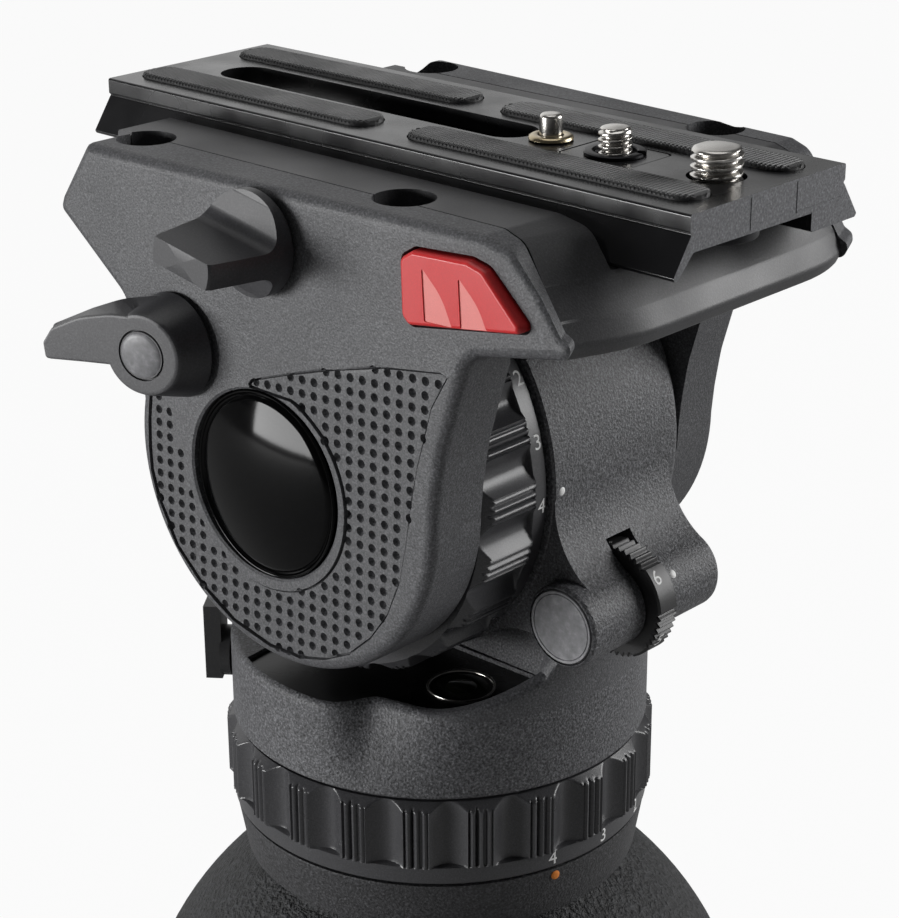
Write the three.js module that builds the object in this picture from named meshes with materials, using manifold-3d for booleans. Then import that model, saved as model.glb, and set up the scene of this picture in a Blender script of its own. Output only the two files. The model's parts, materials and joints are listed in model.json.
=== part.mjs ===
// Fluid video head for a 150 mm bowl: a sliding camera plate on a tilting platform, a tilt body with drag
// and counterbalance, a panning turntable with drag ring and level, and a half ball with a tie-down.
// Millimetres, +Z up. The origin is the centre of the bowl ball. +X points to the front of the head,
// and -Y is the side with the tilt lock, the plate clamp and the release button.

import * as THREE from 'three';
import { mergeVertices } from 'three/addons/utils/BufferGeometryUtils.js';
import Module from 'manifold-3d';

const wasm = await Module();
wasm.setup();

// Driving dimensions

const gap = 0.3;              // clearance between neighbouring pieces
const overrun = 2;            // how far a cutting solid runs past what it cuts
const weld = 0.0005;          // vertices nearer than this are one vertex

// Facets round a full turn
const wireFacets = 5;
const pinFacets = 8;
const boltFacets = 12;
const shaftFacets = 20;
const discFacets = 28;
const shellFacets = 40;
const bodyFacets = 52;

// Bowl ball and tie-down, heights from the ball's centre
const ballRadius = 75;
const ballDepth = 48;
const lipDrop = 4;
const domeRadius = 70.3;
const ballWall = 8;
const ballBoss = 12;          // wall of the boss round the stud
const neckRoof = 9;
const neckHeight = 4.355;     // straight neck above the dome
const studRadius = 6;
const studReach = 40;         // stud below the cup
const cupRadius = 36;
const cupHeight = 12;
const cupWall = 5;
const cupDrop = 4;
const knobRadius = 25;
const knobHeight = 56;
const knobCollar = 8;
const knobLobes = 7;
const knobLobeDepth = 2.4;
const lobeFacets = 6;

// Turntable
const turntableRadius = 44.4;
const turntableBottom = 19.6;
const turntableTop = 38;
const turntableWall = 3.9;
const turntableRoof = 5;
const turntableEdge = 1;
const valleyDepth = 5.4;
const coverThickness = 1.2;
const levelXShare = 0.518;    // of the turntable's radius
const levelYShare = -0.4054;
const levelRadius = 7.05;
const levelWall = 1.3;
const levelDepth = 4;
const lockAngle = -142;       // degrees from +X
const lockRadius = 3;
const lockHubRadius = 5.5;
const lockHubLength = 2.2;
const lockHeight = 29;
const lockPaddleLength = 17;
const lockPaddleWidth = 8;
const lockPaddleThickness = 3.6;
const lockPaddleRise = 12;

// Drag rings
const ringGroups = 22;
const ringHeight = 18.7;
const ringProud = 1.5;        // grip beyond the turntable
const ringBandStep = 1.1;     // number band inside the grip
const ringBandHeight = 4.2;
const ringWall = 6;
const ringClearance = 0.4;
const ridgeDepth = 1.1;
const scallopDepth = 1.7;
const ringRadius = turntableRadius + ringProud;
const ringBandRadius = ringRadius - ringBandStep;
const ringBore = turntableRadius - ringWall;

// Fixed column and pan axle, heights from the pan seam
const columnStep = 0.2;       // column's top edge beyond the turntable
const columnTaper = 2;
const neckStep = 4.6;         // ball's neck inside the column
const columnHeight = 12;
const columnFloor = 10.4;
const spigotHeight = 18.2;
const spigotWallShare = 0.10586;
const axleShare = 0.2027;           // of the turntable's radius
const axleFlangeRadius = 14;
const axleFlangeHeight = 2.7;
const bearingShare = 0.33784;
const bearingHeight = 6.7;
const hubWall = 2.7;
const hubDrop = 16.6;
const nutShare = 0.30405;
const nutHeight = 5.7;
const nutSides = 6;
const canWall = 2.2;
const canLid = 2;
const rotorDiscs = 3;
const rotorDiscHeight = 1.8;
const rotorSleeve = 2.7;
const screwRadius = 2.5;
const screwHeadRadius = 4.2;
const screwHeadHeight = 5;
const screwReach = 12;
const columnTopRadius = turntableRadius + columnStep;
const columnBottomRadius = columnTopRadius - columnTaper;
const spigotRadius = ringBore - ringClearance;
const spigotBore = spigotRadius - turntableRadius * spigotWallShare;
const axleRadius = turntableRadius * axleShare;
const bearingRadius = turntableRadius * bearingShare;
const nutRadius = turntableRadius * nutShare;
const neckRadius = columnBottomRadius - neckStep;
const neckTop = Math.sqrt(domeRadius ** 2 - neckRadius ** 2) + neckHeight;
const panSeam = neckTop + columnHeight + gap;

// Tilt body, measured from the tilt axis
const bodyRadius = 44.3;
const bodyClearance = 1.7;    // between the body and the turntable
const bodyNear = 14.7;
const bodyFar = 24.4;
const bodyEdge = 3;
const edgeShare = 0.3;        // of the edge, cut at the middle of its rounding
const footNear = 6;
const footHalf = 30;
const footHeight = 16;
const footSetback = 2.9;      // apron's foot behind the turntable's edge
const footScrewShareX = 0.4955;     // of the turntable's radius
const footScrewShareY = 0.1802;
const tiltSpigotStep = 10.6;
const tiltSpigotEnd = 32.6;
const tiltSpigotWall = 4.4;
const tiltCanFloor = 12;
const springPocketWall = 18.3;
const springPocketFloor = 7;
const springWire = 4.4;
const springTurns = 2.5;
const barrelReach = 5;        // barrel's axis beyond the body's radius
const barrelDrop = 25;
const barrelRadius = 8.4;
const barrelNear = 18.5;
const barrelFar = 21;
const barrelFillet = 10;
const barrelCapRadius = 7.5;
const barrelCapDepth = 1.6;
const dialShaftRadius = 4.9;
const dialRadius = 12.7;
const dialWidth = 5.4;
const dialCentre = 0.7;
const dialWindow = 7;
const dialRibs = 16;
const dialRibDepth = 0.5;
const ribFacets = 4;
const tiltRingNear = 32.9;
const tiltRingFar = 15.1;
const tiltRingStep = 0.4;     // grip inside the body
const tiltRingBandStep = 1;
const tiltAxleRadius = 8;
const tiltBearingRadius = 14.7;
const tiltRise = turntableTop + bodyClearance + bodyRadius;
const tiltSpigotRadius = bodyRadius - tiltSpigotStep;
const tiltCanBore = tiltSpigotRadius - tiltSpigotWall;
const springPocketRadius = bodyRadius - springPocketWall;
const barrelX = bodyRadius + barrelReach;
const tiltRingRadius = bodyRadius - tiltRingStep;
const tiltRingBandRadius = tiltRingRadius - tiltRingBandStep;
const tiltRingBore = tiltSpigotRadius + ringClearance;

// Platform, measured from the tilt axis
const sideOuter = 48.8;
const sideSeam = 39;
const sideInner = 33.5;
const sideTaperShare = 0.049;
const sideEdge = 1.6;
const farCheekInner = 25.3;
const farCheekOuter = 37;
const farRailDrop = 6.5;      // far rail below the deck's underside
const cheekStep = 5.8;        // cheek inside the body's radius
const cheekX = 4.2;
const cheekZ = 1.8;
const deckClearance = 1.6;
const deckWeb = 6.5;
const channelDepth = 7.2;
const deckBack = 50;
const channelTopHalf = 26;
const channelFootHalf = 27.9;
const badgeRadius = 18.8;
const badgeDepth = 3;
const deckHoleRadius = 5.9;
const deckHoleDepth = 9.6;
const nearRearHoleX = -39.9;
const nearRearHoleY = -40.1;
const nearFrontHoleX = 27.3;
const nearFrontHoleY = -37;
const farRearHoleX = -41.5;
const farRearHoleY = 42.6;
const farFrontHoleX = 37.8;
const farFrontHoleY = 40.5;
const deckScrewRadius = 2.2;
const deckScrewHeadRadius = 4.4;
const deckScrewHeadHeight = 4;
const rosetteBackShare = 0.53047;   // of the body's radius
const rosetteRiseShare = 0.57562;
const rosetteRadius = 12;
const rosetteThickness = 4;
const rosetteTeeth = 16;
const rosetteToothDepth = 0.9;
const rosetteGrooveIn = 3;
const rosetteGrooveOut = 3.6;
const rosetteBore = 3.2;
const rosetteWall = 3;
const deckUnder = bodyRadius + deckClearance;
const deckFloor = deckUnder + deckWeb;
const deckTop = deckFloor + channelDepth;
const farRailBottom = deckUnder - farRailDrop;
const cheekRadius = bodyRadius - cheekStep;
const rosetteX = -bodyRadius * rosetteBackShare;
const rosetteZ = bodyRadius * rosetteRiseShare;

// Controls on the platform
const leverBackShare = 0.48533;     // of the body's radius
const leverRiseShare = 0.54176;
const leverHubRadius = 10.5;
const leverStand = 9.1;
const leverArmThickness = 6;
const leverLength = 32;
const leverEdge = 0.9;
const leverShaftRadius = 3;
const leverCapRadius = 5;
const leverCapHeight = 0.8;
const brakePadRadius = 5;
const brakePadThickness = 3;
const clampX = 1.2;
const clampDrop = 10.6;       // clamp screw below the deck's top
const clampKnobRadius = 10.2;
const clampKnobLength = 18.6;
const clampBlade = 5;
const clampBladeHalf = 6.6;
const clampTilt = 11.5;       // degrees
const clampScoopRadius = 9.5;
const clampScrewRadius = 2;
const jawLength = 38;
const jawCover = 2.4;         // jaw's top below the deck's top
const jawDepth = 9.4;
const jawTravel = 1.5;
const buttonTravel = 2;
const buttonProud = 3.2;
const buttonThickness = 5;
const buttonEdge = 0.5;
const buttonPocketFloor = 41.5;
const buttonX = 51;
const buttonDrop = 11.4;      // button's middle below the deck's top
const buttonPinRadius = 2;
const buttonPinLength = 12;
const buttonSpringRadius = 3.4;
const buttonSpringTurns = 2;
const smallWire = 0.7;
const leverX = -bodyRadius * leverBackShare;
const leverZ = bodyRadius * leverRiseShare;
const clampZ = deckTop - clampDrop;
const jawTop = deckTop - jawCover;
const jawBottom = deckUnder + gap;
const buttonZ = deckTop - buttonDrop;

// Camera plate, heights from the tilt axis
const plateBack = 72.4;
const plateFront = 80.4;
const plateThickness = 10.9;
const plateTopHalf = 22.8;
const plateFootHalf = 27.1;
const plateLip = 3;
const slotBack = 60;
const slotFront = 25;
const slotHalf = 5.65;
const padRearStart = -70;
const padRearEnd = -3;
const padFrontStart = 7;
const padFrontEnd = 76;
const padY = 13.2;
const padHalf = 4.5;
const padProud = 1;
const padSink = 1.2;
const carrierX = 45.3;
const carrierLength = 17.5;
const carrierHalf = 6.6;
const carrierThickness = 4.6;
const carrierCorner = 2.5;
const bigScrewX = 68.5;
const bigScrewRadius = 4.76;
const bigScrewPitch = 1.5875;
const bigScrewHeadRadius = 8;
const smallScrewRadius = 3.175;
const smallScrewPitch = 1.27;
const smallScrewHeadRadius = 6.2;
const cameraScrewProud = 7.4;
const cameraScrewHead = 4;
const threadDepthShare = 0.12;
const pinX = 29.8;
const pinRadius = 2.2;
const pinProud = 5;
const pinFlangeRadius = 3;
const pinCollarRadius = 4.3;
const pinCollarHeight = 0.8;
const pinCollarWall = 1.2;
const plateFoot = deckFloor + gap;
const plateTop = plateFoot + plateThickness;

// Helpers that turn a closed geometry into a solid and back

function signedVolume(positions, index) {
  let six = 0;
  for (let i = 0; i < index.length; i += 3) {
    const [a, b, c] = [index[i] * 3, index[i + 1] * 3, index[i + 2] * 3];
    const [ax, ay, az] = [positions[a], positions[a + 1], positions[a + 2]];
    const [bx, by, bz] = [positions[b], positions[b + 1], positions[b + 2]];
    const [cx, cy, cz] = [positions[c], positions[c + 1], positions[c + 2]];
    six += ax * (by * cz - bz * cy) + ay * (bz * cx - bx * cz) + az * (bx * cy - by * cx);
  }
  return six / 6;
}

function solid(geometry) {
  const bare = geometry.clone();
  for (const name of Object.keys(bare.attributes)) {
    if (name !== 'position') bare.deleteAttribute(name);
  }
  const merged = mergeVertices(bare, weld);
  const positions = merged.attributes.position.array;
  const raw = merged.index.array;
  const kept = [];
  for (let i = 0; i < raw.length; i += 3) {
    const [a, b, c] = [raw[i], raw[i + 1], raw[i + 2]];
    if (a !== b && b !== c && a !== c) kept.push(a, b, c);
  }
  if (signedVolume(positions, kept) < 0) {
    for (let i = 0; i < kept.length; i += 3) [kept[i + 1], kept[i + 2]] = [kept[i + 2], kept[i + 1]];
  }
  return new wasm.Manifold(new wasm.Mesh({
    numProp: 3,
    vertProperties: new Float32Array(positions),
    triVerts: new Uint32Array(kept),
  }));
}

function geometryOf(body) {
  const mesh = body.getMesh();
  const geometry = new THREE.BufferGeometry();
  geometry.setAttribute('position', new THREE.BufferAttribute(new Float32Array(mesh.vertProperties), 3));
  geometry.setIndex(new THREE.BufferAttribute(new Uint32Array(mesh.triVerts), 1));
  geometry.computeVertexNormals();
  return geometry;
}

function cut(body, ...tools) {
  return tools.reduce((left, tool) => left.subtract(tool), body);
}

function join(...bodies) {
  return bodies.reduce((left, right) => left.add(right));
}

// Shapes

function box(x0, x1, y0, y1, z0, z1) {
  const geometry = new THREE.BoxGeometry(x1 - x0, y1 - y0, z1 - z0);
  geometry.translate((x0 + x1) / 2, (y0 + y1) / 2, (z0 + z1) / 2);
  return solid(geometry);
}

// Lathe round Z: profile points are [radius, z]. A profile that leaves the axis free is closed on itself.
function turned(profile, facets = shaftFacets) {
  const points = profile.map(([r, z]) => new THREE.Vector2(r, z));
  if (profile[0][0] > 0 || profile[profile.length - 1][0] > 0) points.push(points[0].clone());
  const geometry = new THREE.LatheGeometry(points, facets);
  geometry.rotateX(Math.PI / 2);
  return solid(geometry);
}

// The same round an axis along Y: profile points are [radius, y]
function turnedY(profile, facets = shaftFacets) {
  const points = profile.map(([r, y]) => new THREE.Vector2(r, y));
  if (profile[0][0] > 0 || profile[profile.length - 1][0] > 0) points.push(points[0].clone());
  return solid(new THREE.LatheGeometry(points, facets));
}

function rod(radius, z0, z1, facets = boltFacets) {
  return turned([[0, z0], [radius, z0], [radius, z1], [0, z1]], facets);
}

function rodY(radius, y0, y1, facets = boltFacets) {
  return turnedY([[0, y0], [radius, y0], [radius, y1], [0, y1]], facets);
}

function tube(inner, outer, z0, z1, facets = shaftFacets) {
  return turned([[inner, z0], [outer, z0], [outer, z1], [inner, z1]], facets);
}

function tubeY(inner, outer, y0, y1, facets = shaftFacets) {
  return turnedY([[inner, y0], [outer, y0], [outer, y1], [inner, y1]], facets);
}

// An outline from corner points [x, y, corner radius], with each corner replaced by an arc of a few steps
function outline(corners, steps = 4) {
  const points = [];
  const count = corners.length;
  corners.forEach(([x, y, radius = 0], i) => {
    const here = new THREE.Vector2(x, y);
    if (radius === 0) {
      points.push(here);
      return;
    }
    const before = new THREE.Vector2(...corners[(i + count - 1) % count].slice(0, 2)).sub(here).normalize();
    const after = new THREE.Vector2(...corners[(i + 1) % count].slice(0, 2)).sub(here).normalize();
    const half = Math.acos(THREE.MathUtils.clamp(before.dot(after), -1, 1)) / 2;
    const reach = radius / Math.tan(half);
    const centre = before.clone().add(after).normalize().multiplyScalar(radius / Math.sin(half)).add(here);
    const start = before.multiplyScalar(reach).add(here).sub(centre);
    const end = after.multiplyScalar(reach).add(here).sub(centre);
    const turn = Math.atan2(start.cross(end), start.dot(end));
    for (let k = 0; k <= steps; k++) {
      points.push(start.clone().rotateAround(new THREE.Vector2(), (turn * k) / steps).add(centre));
    }
  });
  return points;
}

// Points on an arc between two angles in degrees, and on a full circle
function arc(cx, cy, radius, from, to, steps) {
  const points = [];
  for (let k = 0; k <= steps; k++) {
    const angle = THREE.MathUtils.degToRad(from + ((to - from) * k) / steps);
    points.push(new THREE.Vector2(cx + radius * Math.cos(angle), cy + radius * Math.sin(angle)));
  }
  return points;
}

function circle(radius, facets) {
  return arc(0, 0, radius, 0, 360 - 360 / facets, facets - 1);
}

// Extrusions: along Z from an outline in X and Y, and along Y from an outline in X and Z
function prism(points, z0, z1, bevel = 0) {
  const geometry = new THREE.ExtrudeGeometry(new THREE.Shape(points), {
    depth: z1 - z0 - 2 * bevel,
    bevelEnabled: bevel > 0,
    bevelThickness: bevel,
    bevelSize: bevel,
    bevelOffset: -bevel,
    bevelSegments: 1,
  });
  geometry.translate(0, 0, z0 + bevel);
  return solid(geometry);
}

function prismY(points, y0, y1, bevel = 0) {
  const geometry = new THREE.ExtrudeGeometry(new THREE.Shape(points), {
    depth: y1 - y0 - 2 * bevel,
    bevelEnabled: bevel > 0,
    bevelThickness: bevel,
    bevelSize: bevel,
    bevelOffset: -bevel,
    bevelSegments: 1,
  });
  geometry.rotateX(Math.PI / 2);
  geometry.translate(0, y1 - bevel, 0);
  return solid(geometry);
}

function prismX(points, x0, x1) {
  const options = { depth: x1 - x0, bevelEnabled: false };
  const geometry = new THREE.ExtrudeGeometry(new THREE.Shape(points), options);
  const turn = new THREE.Matrix4().makeBasis(
    new THREE.Vector3(0, 1, 0), new THREE.Vector3(0, 0, 1), new THREE.Vector3(1, 0, 0),
  );
  geometry.applyMatrix4(turn);
  geometry.translate(x0, 0, 0);
  return solid(geometry);
}

function shifted(body, x, y, z) {
  return body.translate([x, y, z]);
}

// A rod along Z at a place in X and Y, and one along Y at a place in X and Z
function peg(radius, z0, z1, x, y, facets = shaftFacets) {
  return shifted(rod(radius, z0, z1, facets), x, y, 0);
}

function pegY(radius, y0, y1, x, z, facets = shaftFacets) {
  return shifted(rodY(radius, y0, y1, facets), x, 0, z);
}

// Side faces lean in towards the front: every vertex beyond the inner face moves by the taper
function tapered(body, side) {
  const geometry = geometryOf(body);
  const positions = geometry.attributes.position;
  for (let i = 0; i < positions.count; i++) {
    const beyond = side * positions.getY(i) - sideSeam - gap;
    if (beyond > 0) {
      const share = beyond / (sideOuter - sideSeam - gap);
      positions.setY(i, positions.getY(i) - side * share * sideTaperShare * positions.getX(i));
    }
  }
  return solid(geometry);
}

// Materials

function material(color, roughness, metalness) {
  return new THREE.MeshStandardMaterial({ color, roughness, metalness });
}

const charcoal = material(0x3a3a3c, 0.62, 0.25);
const roughCast = material(0x2b2b2d, 0.85, 0.2);
const blackSatin = material(0x1b1b1d, 0.4, 0.3);
const glossBlack = material(0x060607, 0.08, 0);
const rubber = material(0x232325, 0.8, 0);
const redPlastic = material(0xc4242a, 0.42, 0);
const steel = material(0xb9bbbe, 0.28, 1);
const brass = material(0xb79a5f, 0.35, 1);
const darkSteel = material(0x4c4e51, 0.4, 0.9);
const levelGlass = material(0x4a4a20, 0.06, 0);

const head = new THREE.Group();
const panFrame = new THREE.Group();
panFrame.position.z = panSeam;
const tiltFrame = new THREE.Group();
tiltFrame.position.z = tiltRise;
head.add(panFrame);
panFrame.add(tiltFrame);

function place(parent, name, body, finish) {
  const mesh = new THREE.Mesh(geometryOf(body), finish);
  mesh.name = name;
  parent.add(mesh);
}

// Grip outline of a drag ring: round-ended scallops alternate with groups of three ridges
function gripOutline(radius, ridge, scallop) {
  const pitch = (2 * Math.PI) / ringGroups;
  const stepShares = [
    [0.03, 0], [0.14, scallop], [0.38, scallop], [0.49, 0], [0.61, 0], [0.66, ridge], [0.72, 0],
  ];
  const points = [];
  for (let group = 0; group < ringGroups; group++) {
    for (const [share, depth] of stepShares) {
      const angle = pitch * (group + share);
      const reach = radius - depth;
      points.push(new THREE.Vector2(reach * Math.cos(angle), reach * Math.sin(angle)));
    }
  }
  return points;
}

// A drag ring along Z: a smooth number band below and a ribbed grip above
function dragRing(bore, radius, bandRadius, bandHeight, height) {
  const grip = prism(gripOutline(radius, ridgeDepth, scallopDepth), bandHeight, height);
  const band = rod(bandRadius, 0, bandHeight + gap, 2 * ringGroups);
  return cut(join(band, grip), rod(bore, -overrun, height + overrun, 2 * ringGroups));
}

// A socket-head screw along Z, its head standing on zero
function capScrew(radius, headRadius, headHeight, reach) {
  return turned([
    [0, -reach], [radius, -reach], [radius, 0], [headRadius, 0], [headRadius, headHeight],
    [headRadius / 2, headHeight], [headRadius / 2, headHeight / 2], [0, headHeight / 2],
  ], pinFacets);
}

function around(count, radius) {
  return Array.from({ length: count }, (_, i) => {
    const angle = (2 * Math.PI * i) / count;
    return [radius * Math.cos(angle), radius * Math.sin(angle)];
  });
}

// A coil along Z, as one unbroken wire
class Coil extends THREE.Curve {
  constructor(radius, rise, turns) {
    super();
    this.radius = radius;
    this.rise = rise;
    this.turns = turns;
  }

  getPoint(t, target = new THREE.Vector3()) {
    const angle = 2 * Math.PI * this.turns * t;
    return target.set(this.radius * Math.cos(angle), this.radius * Math.sin(angle), this.rise * t);
  }
}

function coil(radius, wire, rise, turns) {
  const geometry = new THREE.ExtrudeGeometry(new THREE.Shape(circle(wire / 2, wireFacets)), {
    steps: Math.round(turns * boltFacets),
    extrudePath: new Coil(radius, rise, turns),
    bevelEnabled: false,
  });
  return solid(geometry);
}

// A rounded-end bar outline along X
function stadium(x0, x1, half, steps = 4) {
  return [
    ...arc(x1 - half, 0, half, -90, 90, steps),
    ...arc(x0 + half, 0, half, 90, 270, steps),
  ];
}

// Fixed base: bowl ball, tie-down and column

const columnBottom = -columnHeight;
const floorTop = columnBottom + columnFloor;

// The ball is a shell with a roof under the neck and a boss round the stud, open at the bottom
function halfBall() {
  const degrees = THREE.MathUtils.radToDeg;
  const inside = domeRadius - ballWall;
  const roof = neckTop - neckRoof;
  const bore = studRadius + gap;
  const height = (z, radius) => degrees(Math.asin(z / radius));
  const profile = [
    ...arc(0, 0, ballRadius, height(-ballDepth, ballRadius), height(-lipDrop, ballRadius), 4),
    ...arc(0, 0, domeRadius, 0, degrees(Math.acos(neckRadius / domeRadius)), 6),
    new THREE.Vector2(neckRadius, neckTop),
    new THREE.Vector2(bore, neckTop),
    new THREE.Vector2(bore, -ballDepth),
    new THREE.Vector2(bore + ballBoss, -ballDepth),
    new THREE.Vector2(bore + ballBoss, roof),
    ...arc(0, 0, inside, height(roof, inside), height(-ballDepth, inside), 8),
  ].map((point) => point.toArray());
  return turned(profile, shellFacets);
}

function tieDown() {
  const columnFloorTop = panSeam + floorTop;
  const cupTop = -ballDepth - cupDrop;
  const cupBottom = cupTop - cupHeight;
  const bore = studRadius + gap;
  place(head, 'ball_stud', rod(studRadius, cupBottom - studReach, columnFloorTop, shaftFacets), darkSteel);
  place(head, 'tie_down_cup', turned([
    [bore, cupBottom], [cupRadius - cupWall, cupBottom], [cupRadius, cupTop], [cupRadius - cupWall, cupTop],
    [cupRadius - 2 * cupWall, cupBottom + cupWall], [bore, cupBottom + cupWall],
  ], shellFacets), blackSatin);
  const knobTop = cupBottom - gap;
  const lobes = circle(knobRadius, knobLobes * lobeFacets).map((point) => {
    const dip = knobLobeDepth * (1 + Math.cos(knobLobes * point.angle())) / 2;
    return point.setLength(knobRadius - dip);
  });
  const grip = prism(lobes, knobTop - knobHeight, knobTop - knobCollar, knobLobeDepth);
  const collar = turned([
    [0, knobTop - knobCollar - overrun], [knobRadius - knobCollar, knobTop - knobCollar - overrun],
    [knobRadius - 2 * knobCollar, knobTop], [0, knobTop],
  ], discFacets);
  const hole = rod(bore, knobTop - knobHeight + knobCollar, knobTop + overrun, shaftFacets);
  place(head, 'tie_down_knob', cut(join(grip, collar), hole), rubber);
}

function column() {
  const flangeRecess = columnBottom + axleFlangeHeight + 2 * gap;
  const bore = axleRadius + gap;
  const body = turned([
    [bore, flangeRecess], [axleFlangeRadius + gap, flangeRecess], [axleFlangeRadius + gap, columnBottom],
    [columnBottomRadius, columnBottom], [columnTopRadius, -gap], [spigotRadius, -gap],
    [spigotRadius, spigotHeight], [spigotBore, spigotHeight], [spigotBore, floorTop], [bore, floorTop],
  ], shellFacets);
  place(panFrame, 'base_column', body, charcoal);
}

// Pan stage: axle, bearings, fluid cartridge, drag ring and turntable

const hubInner = bearingRadius + gap;
const hubOuter = hubInner + hubWall;
const hubBottom = turntableBottom - hubDrop;
const nutSeat = turntableTop - coverThickness - nutHeight - 2 * gap - bearingHeight;

function fluidCan(bottom, top, bore, outer, floorBore) {
  return turned([
    [floorBore, bottom], [outer, bottom], [outer, top - canLid - gap],
    [bore, top - canLid - gap], [bore, bottom + canWall], [floorBore, bottom + canWall],
  ]);
}

// Rotor: a sleeve with thin discs that shear the fluid
function rotor(bottom, top, bore, outer) {
  const sleeve = bore + rotorSleeve;
  const pitch = (top - bottom - rotorDiscHeight) / (rotorDiscs - 1);
  const profile = [[bore, bottom]];
  for (let i = 0; i < rotorDiscs; i++) {
    const low = bottom + i * pitch;
    const high = low + rotorDiscHeight;
    if (i > 0) profile.push([sleeve, low]);
    profile.push([outer, low], [outer, high]);
    if (i < rotorDiscs - 1) profile.push([sleeve, high]);
  }
  profile.push([bore, top]);
  return turned(profile);
}

function panDrive() {
  const flangeTop = columnBottom + axleFlangeHeight + gap;
  const nutBottom = nutSeat + bearingHeight;
  place(panFrame, 'pan_axle', turned([
    [studRadius + gap, columnBottom + gap], [axleFlangeRadius, columnBottom + gap],
    [axleFlangeRadius, flangeTop],
    [axleRadius, flangeTop], [axleRadius, nutBottom + nutHeight - gap], [0, nutBottom + nutHeight - gap],
    [0, floorTop + gap], [studRadius + gap, floorTop + gap], [studRadius + gap, columnBottom + gap],
  ]), steel);
  const bore = axleRadius + gap;
  const bearing = tube(bore, bearingRadius, 0, bearingHeight);
  place(panFrame, 'pan_bearing_lower', shifted(bearing, 0, 0, hubBottom + gap), steel);
  place(panFrame, 'pan_bearing_upper', shifted(bearing, 0, 0, nutSeat - gap), steel);
  const nut = tube(axleRadius / 2, nutRadius, nutBottom, nutBottom + nutHeight - gap, nutSides);
  place(panFrame, 'pan_axle_nut', cut(nut, rod(bore, 0, turntableTop)), darkSteel);
  const canTop = spigotHeight - gap;
  const canOuter = spigotBore - gap;
  const lidBottom = canTop - canLid;
  const can = fluidCan(floorTop + gap, canTop, canOuter - canWall, canOuter, bore);
  place(panFrame, 'pan_cartridge', can, steel);
  place(panFrame, 'pan_cartridge_lid', tube(hubOuter + 2 * gap, canOuter, lidBottom, canTop), steel);
  const discOuter = canOuter - canWall - 2 * gap;
  const panRotor = rotor(hubBottom + gap, lidBottom - 2 * gap, hubOuter + gap, discOuter);
  place(panFrame, 'pan_rotor', panRotor, brass);
  place(panFrame, 'pan_drag_ring', shifted(
    dragRing(ringBore, ringRadius, ringBandRadius, ringBandHeight, ringHeight), 0, 0, gap,
  ), rubber);
}

// Outline of the glossy cover on the turntable's near side, as shares of the turntable's radius
const coverShares = [
  [0.203, -0.15], [0.8, -0.113], [0.905, -0.2], [0.84, -0.43], [0.69, -0.625], [0.54, -0.72],
  [0.35, -0.78], [0.3, -0.88], [0.07, -0.955], [-0.2, -0.935], [-0.42, -0.86], [-0.42, -0.4], [0.1, -0.3],
];
const valleyAngleShare = -0.385;   // of half a turn from +X
const valleySpreadShare = 0.075;
const levelX = turntableRadius * levelXShare;
const levelY = turntableRadius * levelYShare;

function coverOutline(grow) {
  return coverShares.map(([x, y]) => {
    const point = new THREE.Vector2(x, y).multiplyScalar(turntableRadius);
    const middle = new THREE.Vector2(turntableRadius / 4, -turntableRadius / 2);
    return point.add(point.clone().sub(middle).setLength(grow));
  });
}

// The near wall has a shallow valley that deepens towards the top
function valley(geometry) {
  const positions = geometry.attributes.position;
  for (let i = 0; i < positions.count; i++) {
    const [x, y, z] = [positions.getX(i), positions.getY(i), positions.getZ(i)];
    const radius = Math.hypot(x, y);
    if (radius < turntableRadius - 2 * turntableEdge) continue;
    const turn = Math.atan2(y, x) / Math.PI - valleyAngleShare;
    const rise = THREE.MathUtils.clamp((z - turntableBottom) / (turntableTop - turntableBottom), 0, 1);
    const depth = valleyDepth * rise * Math.exp(-((turn / valleySpreadShare) ** 2));
    positions.setX(i, (x * (radius - depth)) / radius);
    positions.setY(i, (y * (radius - depth)) / radius);
  }
  return geometry;
}

function turntable() {
  const inside = turntableRadius - turntableWall;
  const roof = turntableTop - turntableRoof;
  const wallHeight = turntableTop - turntableEdge - turntableBottom;
  const rings = [0, 0.5, 1].map((share) => [turntableRadius, turntableBottom + share * wallHeight]);
  const shell = new THREE.LatheGeometry([
    [0, turntableBottom], ...rings, [turntableRadius - turntableEdge, turntableTop], [0, turntableTop],
  ].map(([r, z]) => new THREE.Vector2(r, z)), bodyFacets);
  shell.rotateX(Math.PI / 2);
  const above = turntableTop + overrun;
  const hub = rod(hubOuter, hubBottom, turntableBottom + overrun, shaftFacets);
  const hollow = tube(hubOuter, inside - valleyDepth, turntableBottom - overrun, roof, discFacets);
  const step = turntableBottom + turntableWall;
  const skirt = tube(ringBore, inside, turntableBottom - overrun, step, discFacets);
  const bore = rod(hubInner, hubBottom - overrun, above, shaftFacets);
  const pocket = prism(coverOutline(gap), turntableTop - coverThickness - gap, above);
  const level = peg(levelRadius + gap, turntableTop - levelDepth - gap, above, levelX, levelY, discFacets);
  const hole = rod(screwRadius + gap, roof - overrun, above);
  const holes = footScrews.map(([x, y]) => shifted(hole, x, y, 0));
  const lockHole = prismX(circle(lockRadius + gap, boltFacets), inside / 2, turntableRadius + overrun)
    .translate([0, 0, lockHeight]).rotate([0, 0, lockAngle]);
  const tools = [hollow, skirt, bore, pocket, level, lockHole, ...holes];
  place(panFrame, 'turntable', cut(join(solid(valley(shell)), hub), ...tools), charcoal);
  const cover = prism(coverOutline(0), turntableTop - coverThickness, turntableTop);
  const window = shifted(rod(levelRadius + gap, 0, above, discFacets), levelX, levelY, 0);
  place(panFrame, 'level_cover', cut(cover, window), glossBlack);
}

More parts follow.
